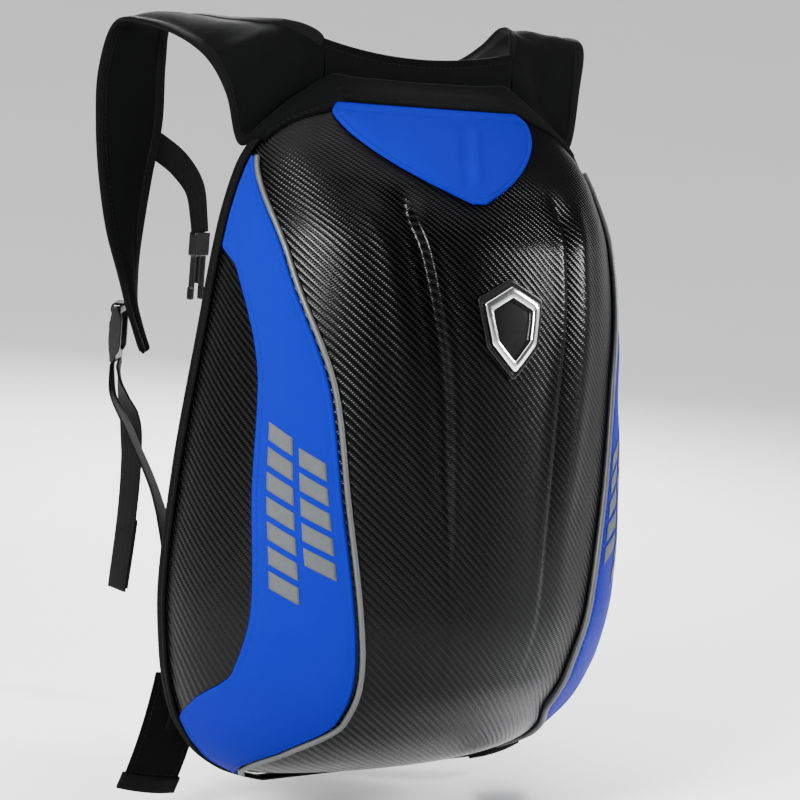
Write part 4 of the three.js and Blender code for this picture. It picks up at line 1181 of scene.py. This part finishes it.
def build_flap():
    t = FLAP["level"][0] + (1 - FLAP["level"][0]) * ends_closer(64, 0.5)[:, None]
    across = 2 * ends_closer(56, 0.5) - 1
    down = t * FLAP_DROP
    half = FLAP_HALF_WIDTH * along(FLAP, "width", t)
    width = HALF_WIDTH * along(OUTLINE, "width", down / HEIGHT)
    reach = np.degrees(np.arcsin(np.minimum(0.97, half / width)))
    angle = np.degrees(np.arcsin(FLAP_OFFSET / width)) + reach * across
    levels = np.broadcast_to(down / HEIGHT, angle.shape)
    near = np.minimum(half * (1 - np.abs(across)), np.minimum(down - down[0], 1.02 * FLAP_DROP - down))
    edge = np.sqrt(np.clip(near / FLAP_EDGE, 0, 1))
    seam = np.exp(-((near - FLAP_SEAM_INSET) / (1.1 * MM)) ** 2)
    inside = smooth((near - FLAP_SEAM_INSET) / (14 * MM))
    height = FLAP_THICKNESS * (0.75 * edge - 0.34 * seam + 0.25 * inside)
    height = height + inside * flap_folds(across * half, down)
    outer = raised(levels, angle, 2 * SEAT_GAP + np.maximum(height, 0.3 * MM))
    inner = raised(levels, angle, 2 * SEAT_GAP)
    flap = closed_sheet("flap_cloth", outer, inner, shell_weave(levels, angle))
    held = np.stack([near < 5.6 * MM, near > -1])
    swell(flap, np.nonzero(held.ravel())[0].tolist(), pressure=2.5, cap=2.2 * MM)
    dress(flap, "blue", "top_flap")


def badge_outline(scale):
    t = np.linspace(0, 1, 40)
    half = np.interp(t, BADGE["level"], BADGE["width"]) * BADGE_HALF_WIDTH
    side = np.stack([half, t - 0.5], 1) * scale
    return np.concatenate([side, (side * [-1, 1])[::-1]])


def badge_body(name, low, high, steps, closed=False):
    """Rings of the badge's outline laid on the shell. Each has a scale and a share of the height."""
    rings = []
    for scale, rise in steps:
        outline = badge_outline(scale)
        level = (BADGE_DROP + outline[:, 1] * BADGE_HEIGHT) / HEIGHT
        angle = np.degrees(np.arcsin(outline[:, 0] / (HALF_WIDTH * along(OUTLINE, "width", level))))
        rings.append(raised(level, angle, low + high * rise))
    return loft(name, np.array(rings), closed=closed)


def build_badge():
    plate = ((1, 0), (1, 0.7), (0.985, 0.92), (0.955, 1), (0.9, 0.82), (0.86, 0.6), (0.6, 0.6),
             (0.2, 0.6))
    dress(badge_body("badge_plate", 2 * SEAT_GAP, BADGE_THICKNESS, plate), "plastic", "badge_base")
    rim = ((BADGE_FRAME_OUTER, 0), (BADGE_FRAME_OUTER, 0.75), (0.975 * BADGE_FRAME_OUTER, 1),
           (1.03 * BADGE_FRAME_INNER, 1), (BADGE_FRAME_INNER, 0.75), (BADGE_FRAME_INNER, 0))
    low = 3 * SEAT_GAP + BADGE_THICKNESS * 0.6
    mark = badge_body("badge_frame", low, BADGE_THICKNESS * 1.25, rim, closed=True)
    dress(mark, "metal", "badge_mark")


# Webbing and buckles

def strap_seat(share):
    """Middle of the left strap at a share of its length, with directions across and out of it."""
    neck, outer = strap_edges(LEFT_STRAP, 400)
    middle = (neck + outer) / 2
    k = round(share * 400)
    across = unit(outer[k] - neck[k])
    return middle[k], across, unit(np.cross(unit(middle[k + 4] - middle[k - 4]), across))


SEAT_CENTRE, SEAT_ACROSS, SEAT_OUTWARD = strap_seat(LOCK_SHARE)
LOCK_CENTRE = (SEAT_CENTRE + SEAT_OUTWARD * ((PAD_THICKNESS + LOCK_THICKNESS) / 2 + LOCK_STANDOFF)
               - np.array([0, 0, LOCK_SAG]))
LOCK_FOOT = LOCK_CENTRE - np.array([0, 0, LOCK_HEIGHT / 2 + 2 * SEAT_GAP])
ANCHOR = np.array([-ANCHOR_SIDE_SHARE * HALF_WIDTH, SEAT_GAP + TAB_THICKNESS + WEBBING_THICKNESS / 2,
                   -ANCHOR_LEVEL_SHARE * HEIGHT])

SELVEDGES = np.array([
    (-1, 0), (-0.97, 0.8), (-0.9, 1), (0.9, 1), (0.97, 0.8), (1, 0), (0.97, -0.8), (0.9, -1),
    (-0.9, -1), (-0.97, -0.8)])


def webbing(name, path, turns, width):
    """Flat webbing with rounded selvedges along a smooth path, with its middle line and directions."""
    shares = np.linspace(0, 1, 24 * (len(path) - 1) + 1)
    centre, turn = (curve_through(points, shares) for points in (path, turns))
    way = unit(np.gradient(centre, axis=0))
    across = unit(turn - way * np.sum(turn * way, axis=1, keepdims=True))
    normal = np.cross(way, across)
    made = sweep(name, centre, across, normal, SELVEDGES * [width / 2, WEBBING_THICKNESS / 2])
    return made, centre, across, normal


def turns_of(rows):
    return np.stack([rows["turnX"], rows["turnY"], rows["turnZ"]], 1)


TAIL_HEM_ROWS = 22
TAIL_SEAM_ROW = -18


def build_webbing():
    top = LOCK_FOOT - SEAT_OUTWARD * WEBBING_SPLIT / 2
    path = top + np.stack([TAIL["out"], TAIL["back"], -TAIL["drop"]], 1) * TAIL_LENGTH
    tail, centre, across, normal = webbing("tail_left", path, turns_of(TAIL), WEBBING_WIDTH)
    end = slice(-TAIL_HEM_ROWS, -1, 5)
    hem, *_ = webbing("tail_hem", centre[end] + normal[-1] * WEBBING_THICKNESS * 0.9, across[end],
                      WEBBING_WIDTH * 0.99)
    tail = join("tail_left", [tail, hem])
    seam = (centre[TAIL_SEAM_ROW] + normal[-1] * 0.8 * MM
            + across[TAIL_SEAM_ROW] * np.linspace(-0.42, 0.42, 12)[:, None] * WEBBING_WIDTH)
    up = np.tile(normal[TAIL_SEAM_ROW], (12, 1))
    threads = stitch_rows("webbing_stitches_left", [(seam + up * sign * WEBBING_THICKNESS, up * sign)
                                                    for sign in (1, -1)])
    dress_pair(tail, "webbing", "webbing_tail_left")

    top = LOCK_FOOT + SEAT_OUTWARD * WEBBING_SPLIT / 2
    shift = np.stack([LOWER_RUN["out"], 0 * LOWER_RUN["out"], LOWER_RUN["rise"]], 1)
    path = top + LOWER_RUN["run"][:, None] * (ANCHOR - top) + shift * np.linalg.norm(ANCHOR - top)
    lower, *_ = webbing("lower_left", path, turns_of(LOWER_RUN), WEBBING_WIDTH)
    dress_pair(lower, "webbing", "lower_webbing_left")
    dress_pair(threads, "thread")


LOCK_RAIL = 4.6 * MM


def build_lock():
    """Ladder lock: two curved side rails, four bars, and the lip that frees the webbing."""
    h, d = LOCK_HEIGHT / 2, LOCK_THICKNESS / 2
    spots = np.linspace(-1, 1, 33)
    crown = d * (0.98 - 0.5 * np.abs(spots) ** 2.2)
    back = -d * (0.98 - 0.85 * smooth((np.abs(spots) - 0.55) / 0.45))
    rail = np.concatenate([np.stack([spots * h, crown], 1), np.stack([spots * h, back], 1)[::-1]])
    parts = []
    for side in (-1, 1):
        parts.append(outline_body("rail", rail, LOCK_RAIL))
        parts[-1].data.transform(Matrix.Translation((0, 0, side * (LOCK_WIDTH - LOCK_RAIL) / 2)))
    for up, out, tall, thick in ((0.86, 0.05, 0.16, 0.7), (0.3, 0.5, 0.15, 0.55),
                                 (-0.2, 0.42, 0.16, 0.6), (-0.86, 0.1, 0.2, 0.55)):
        size = (tall * LOCK_HEIGHT, thick * LOCK_THICKNESS, LOCK_WIDTH - MM)
        parts.append(box_at(size, (up * h, out * d, 0), 1.2 * MM))
    size = (0.2 * LOCK_HEIGHT, 0.3 * LOCK_THICKNESS, LOCK_WIDTH * 0.5)
    parts.append(box_at(size, (-0.9 * h, 0.25 * d, 0), 1.0 * MM))
    lock = join("lock_left", parts)
    wide = unit(SEAT_ACROSS * [1, 1, 0])
    up = np.array([0, 0, 1.0])
    outward = np.cross(up, wide)
    outward = outward * np.sign(np.dot(outward, SEAT_OUTWARD))
    axes = Matrix([up, outward, np.cross(up, outward)]).transposed().to_4x4()
    lock.data.transform(Matrix.Translation(LOCK_CENTRE) @ axes)
    fuse(lock, voxel=0.55 * MM, rounds=4)
    dress_pair(lock, "plastic", "ladder_lock_left")

    # Loop of webbing that ties the lock's top bar to the strap
    start = SEAT_CENTRE + SEAT_OUTWARD * (PAD_THICKNESS / 2) + up * 16 * MM
    bar = LOCK_CENTRE + up * h * 0.86
    path = [start, start - up * 7 * MM]
    for out, rise in ((3.2, 4), (4.4, 0), (2.4, -3.6)):
        path.append(bar + SEAT_OUTWARD * out * MM + up * rise * MM)
    loop, *_ = webbing("lock_loop_left", path, np.tile(wide, (5, 1)), WEBBING_WIDTH * 0.9)
    dress_pair(loop, "webbing")


def build_tabs():
    t, w = np.meshgrid(np.linspace(0, 1, 14), np.linspace(-0.5, 0.5, 18), indexing="ij")
    rim = np.sqrt(np.clip(np.minimum(0.5 - np.abs(w), np.minimum(t, 1 - t)) / 0.05, 0.05, 1))
    x = ANCHOR[0] + (TAB_TOP_WIDTH + (TAB_BOTTOM_WIDTH - TAB_TOP_WIDTH) * t) * w
    z = ANCHOR[2] - 5 * SEAT_GAP - TAB_HEIGHT * t
    outer, inner, seam = (np.stack([x, SEAT_GAP + TAB_THICKNESS * rise, z], -1)
                          for rise in (rim, 0 * x, 1 + 0 * x))
    for side, name in SIDES:
        turn = [side, 1, 1]
        tab = closed_sheet(f"tab_{name}", outer * turn, inner * turn, np.stack([x, z], -1))
        dress(tab, "tape", f"lower_tab_{name}")
        normals = np.tile([0, 1.0, 0], (len(seam) - 6, 1))
        rows = [(seam[3:-3, column] * turn, normals) for column in (2, -3)]
        dress(stitch_rows(f"tab_stitches_{name}", rows), "thread")


HEM_ROW = 33
HEM_OVERLAP = 1.5 * MM
HEM_PAST_END = 1.2 * MM


def build_wings():
    t = np.linspace(0, 1, 40)
    centre = np.stack([-WING_SIDE_SHARE * HALF_WIDTH - WING_SPLAY * t,
                       3 * SEAT_GAP + TAB_THICKNESS + WING_THICKNESS / 2 + WING_CURL * t * t,
                       -WING_LEVEL_SHARE * HEIGHT - WING_LENGTH * t], 1)
    lean = np.array([0.98, 0, -0.18]) * WING_WIDTH / 2
    inner, outer = centre + lean, centre - lean
    past = unit(outer - inner) * HEM_OVERLAP
    ends = [(inner - past)[HEM_ROW + 1:], (outer + past)[HEM_ROW + 1:]]
    for line in ends:
        line[-1] += unit(line[-1] - line[-2]) * HEM_PAST_END
    across = np.linspace(0.12, 0.88, 16)[:, None]
    for side, name in SIDES:
        flip = np.array([side, 1, 1])
        pad, held, normal = band(f"wing_{name}_cloth", inner * flip, outer * flip,
                                 WING_THICKNESS / 2 * 0.95, columns=12, hem=5 * MM)
        swell(pad, held, pressure=2.5, cap=1.4 * MM)
        threads = []
        for edge, other in ((inner, outer), (outer, inner)):
            seam = (edge + unit(other - edge) * SEAM_INSET) * flip
            threads += [((seam + normal * sign * WING_THICKNESS * 0.16)[1:-1], (normal * sign)[1:-1])
                        for sign in (1, -1)]
        seam = (inner[HEM_ROW] + (outer[HEM_ROW] - inner[HEM_ROW]) * across) * flip
        up = np.tile(normal[HEM_ROW], (16, 1))
        threads += [(seam + up * sign * WING_THICKNESS * 0.45, up * sign) for sign in (1, -1)]
        dress(stitch_rows(f"wing_stitches_{name}", threads), "thread")
        dress(pad, "black", f"waist_wing_{name}")
        fold, *_ = band(f"wing_{name}_hem", ends[0] * flip, ends[1] * flip,
                        WING_THICKNESS / 2 * 1.35, columns=12, hem=2 * MM)
        dress(fold, "tape")


def build_chest():
    top = np.array([-STRAP_SPREAD * CHEST_SIDE_SHARE,
                    RIM_Y + STRAP_REACH + PAD_THICKNESS / 2 + 2 * SEAT_GAP,
                    -STRAP_DROP * CHEST_LEVEL_SHARE])
    path = top + np.stack([CHEST_RUN["out"], CHEST_RUN["back"], -CHEST_RUN["drop"]], 1) * CHEST_HANG
    strip, *_ = webbing("chest_left", path, turns_of(CHEST_RUN), CHEST_WEBBING_WIDTH)
    dress_pair(strip, "webbing", "chest_webbing_left")
    end = path[-1] - np.array([0, 0, 2 * SEAT_GAP])
    place = Matrix.Translation(end) @ Matrix.Rotation(BUCKLE_TURN, 4, "Z")

    tongue = moulding(
        "tongue", np.array([TONGUE_WIDTH, BUCKLE_THICKNESS, TONGUE_LENGTH]),
        (1, 1, 0.36, 0, 0, -0.13, 1.4), (0.16, 0.5, 0.45, 0, 0, -0.5, 0.8),
        (0.17, 0.62, 0.52, -0.33, 0, -0.55, 0.9), (0.26, 0.66, 0.2, -0.36, 0, -0.87, 1.6),
        (0.17, 0.62, 0.52, 0.33, 0, -0.55, 0.9), (0.26, 0.66, 0.2, 0.36, 0, -0.87, 1.6))
    tongue.data.transform(place)
    fuse(tongue, voxel=0.45 * MM, rounds=3)
    dress(tongue, "plastic", "chest_buckle_tongue")

    socket = moulding(
        "socket", np.array([SOCKET_WIDTH, BUCKLE_THICKNESS, SOCKET_LENGTH]),
        (1, 0.28, 0.95, 0, 0.36, -0.5, 1), (1, 0.28, 0.95, 0, -0.36, -0.5, 1),
        (1, 1, 0.3, 0, 0, -0.16, 1.6), (0.12, 1, 0.3, -0.43, 0, -0.84, 1),
        (0.12, 1, 0.3, 0.43, 0, -0.84, 1))
    socket.data.transform(Matrix.Scale(-1, 4, (1, 0, 0)) @ place)
    socket.data.flip_normals()
    fuse(socket, voxel=0.45 * MM, rounds=3)
    dress(socket, "plastic", "chest_buckle_socket")


# Camera, floor and light

CAMERA_PLACE = Vector((-0.8771, -1.3389, 0.0333))
CAMERA_FORWARD = Vector((0.5501, 0.8214, -0.1503)).normalized()
CAMERA_ROLL = math.radians(5.04)
CAMERA_LENS = 105.1
CAMERA_SENSOR = 36
FLOOR_GAP = 0.02
FLOOR_FLAT = 2.4
FLOOR_REACH = 13.0
FLOOR_RISE = 2.6


def build_camera():
    level = CAMERA_FORWARD.cross((0, 0, 1)).normalized()
    upright = level.cross(CAMERA_FORWARD)
    right = level * math.cos(CAMERA_ROLL) + upright * math.sin(CAMERA_ROLL)
    up = right.cross(CAMERA_FORWARD)
    camera = new_object("camera", bpy.data.cameras.new("camera"))
    camera.data.lens = CAMERA_LENS
    camera.data.sensor_width = CAMERA_SENSOR
    axes = Matrix((right, up, -CAMERA_FORWARD)).transposed().to_4x4()
    camera.matrix_world = Matrix.Translation(CAMERA_PLACE) @ axes
    SCENE.camera = camera


def soft_box(name, azimuth, elevation, distance, size, power):
    """Rectangular light that looks at the middle of the pack. Azimuth 0 is straight in front."""
    target = Vector((0, 0, -HEIGHT / 2))
    a, e = math.radians(azimuth), math.radians(elevation)
    way = Vector((math.sin(a) * math.cos(e), -math.cos(a) * math.cos(e), math.sin(e)))
    lamp = bpy.data.lights.new(name, "AREA")
    lamp.shape = "RECTANGLE"
    lamp.size, lamp.size_y = size
    lamp.energy = power
    made = new_object(name, lamp)
    made.location = target + way * distance
    made.rotation_mode = "QUATERNION"
    made.rotation_quaternion = (-way).to_track_quat("-Z", "Y")


SKY_COLOUR = (0.97, 0.98, 1, 1)
SKY_STRENGTH = 0.08
CEILING_POWER = 2.6
CEILING_SPREAD = math.radians(70)
CEILING_TILT = math.radians(-16)

# Name, azimuth, elevation, distance, size and power of each lamp
LAMPS = (
    ("key_light", -60, 28, 1.7, (0.42, 0.42), 92),
    ("left_light", -88, 62, 1.5, (0.35, 0.6), 3),
    ("right_light", 58, 27, 1.6, (0.16, 0.34), 34),
    ("back_light", 150, 30, 1.8, (0.6, 0.6), 60),
    ("low_light", 52, -5, 1.6, (0.08, 0.7), 3.5))


def build_stage():
    """Pale floor that rises gently far from the pack, a dim sky, a soft sun and five lamps."""
    far = np.linspace(FLOOR_FLAT, FLOOR_REACH, 40)[1:]
    radius = np.concatenate([np.linspace(MM, FLOOR_FLAT, 8), far])
    turn = np.linspace(0, 2 * math.pi, 97)[:-1]
    r, a = np.meshgrid(np.concatenate([radius, radius[::-1]]), turn, indexing="ij")
    share = (r - FLOOR_FLAT) / (FLOOR_REACH - FLOOR_FLAT)
    level = CAD_BOX[0].z - FLOOR_GAP + FLOOR_RISE * smooth(share)
    level[len(radius):] -= FLOOR_GAP
    floor = loft("floor", np.stack([r * np.cos(a), r * np.sin(a), level], -1), closed=True)
    s = Shader("floor")
    colour = s.blend(s.noise(3, 3), (0.88, 0.88, 0.885), (0.92, 0.92, 0.92))
    floor.data.materials.append(s.finish(Base_Color=colour, Roughness=0.8, Specular_IOR_Level=0.2))
    world = bpy.data.worlds.new("studio")
    world.use_nodes = True
    sky = world.node_tree.nodes["Background"]
    sky.inputs["Color"].default_value = SKY_COLOUR
    sky.inputs["Strength"].default_value = SKY_STRENGTH
    SCENE.world = world
    sun = bpy.data.lights.new("ceiling", "SUN")
    sun.energy = CEILING_POWER
    sun.angle = CEILING_SPREAD
    new_object("ceiling", sun).rotation_euler = (CEILING_TILT, 0, 0)
    for lamp in LAMPS:
        soft_box(*lamp)


build_camera()
build_shell()
build_panels()
build_piping()
build_binding()
build_back()
build_strap("left", LEFT_STRAP, 1)
build_strap("right", RIGHT_STRAP, -1)
build_yoke()
build_apron()
build_flap()
build_badge()
build_webbing()
build_lock()
build_tabs()
build_wings()
build_chest()
settle()
build_stage()
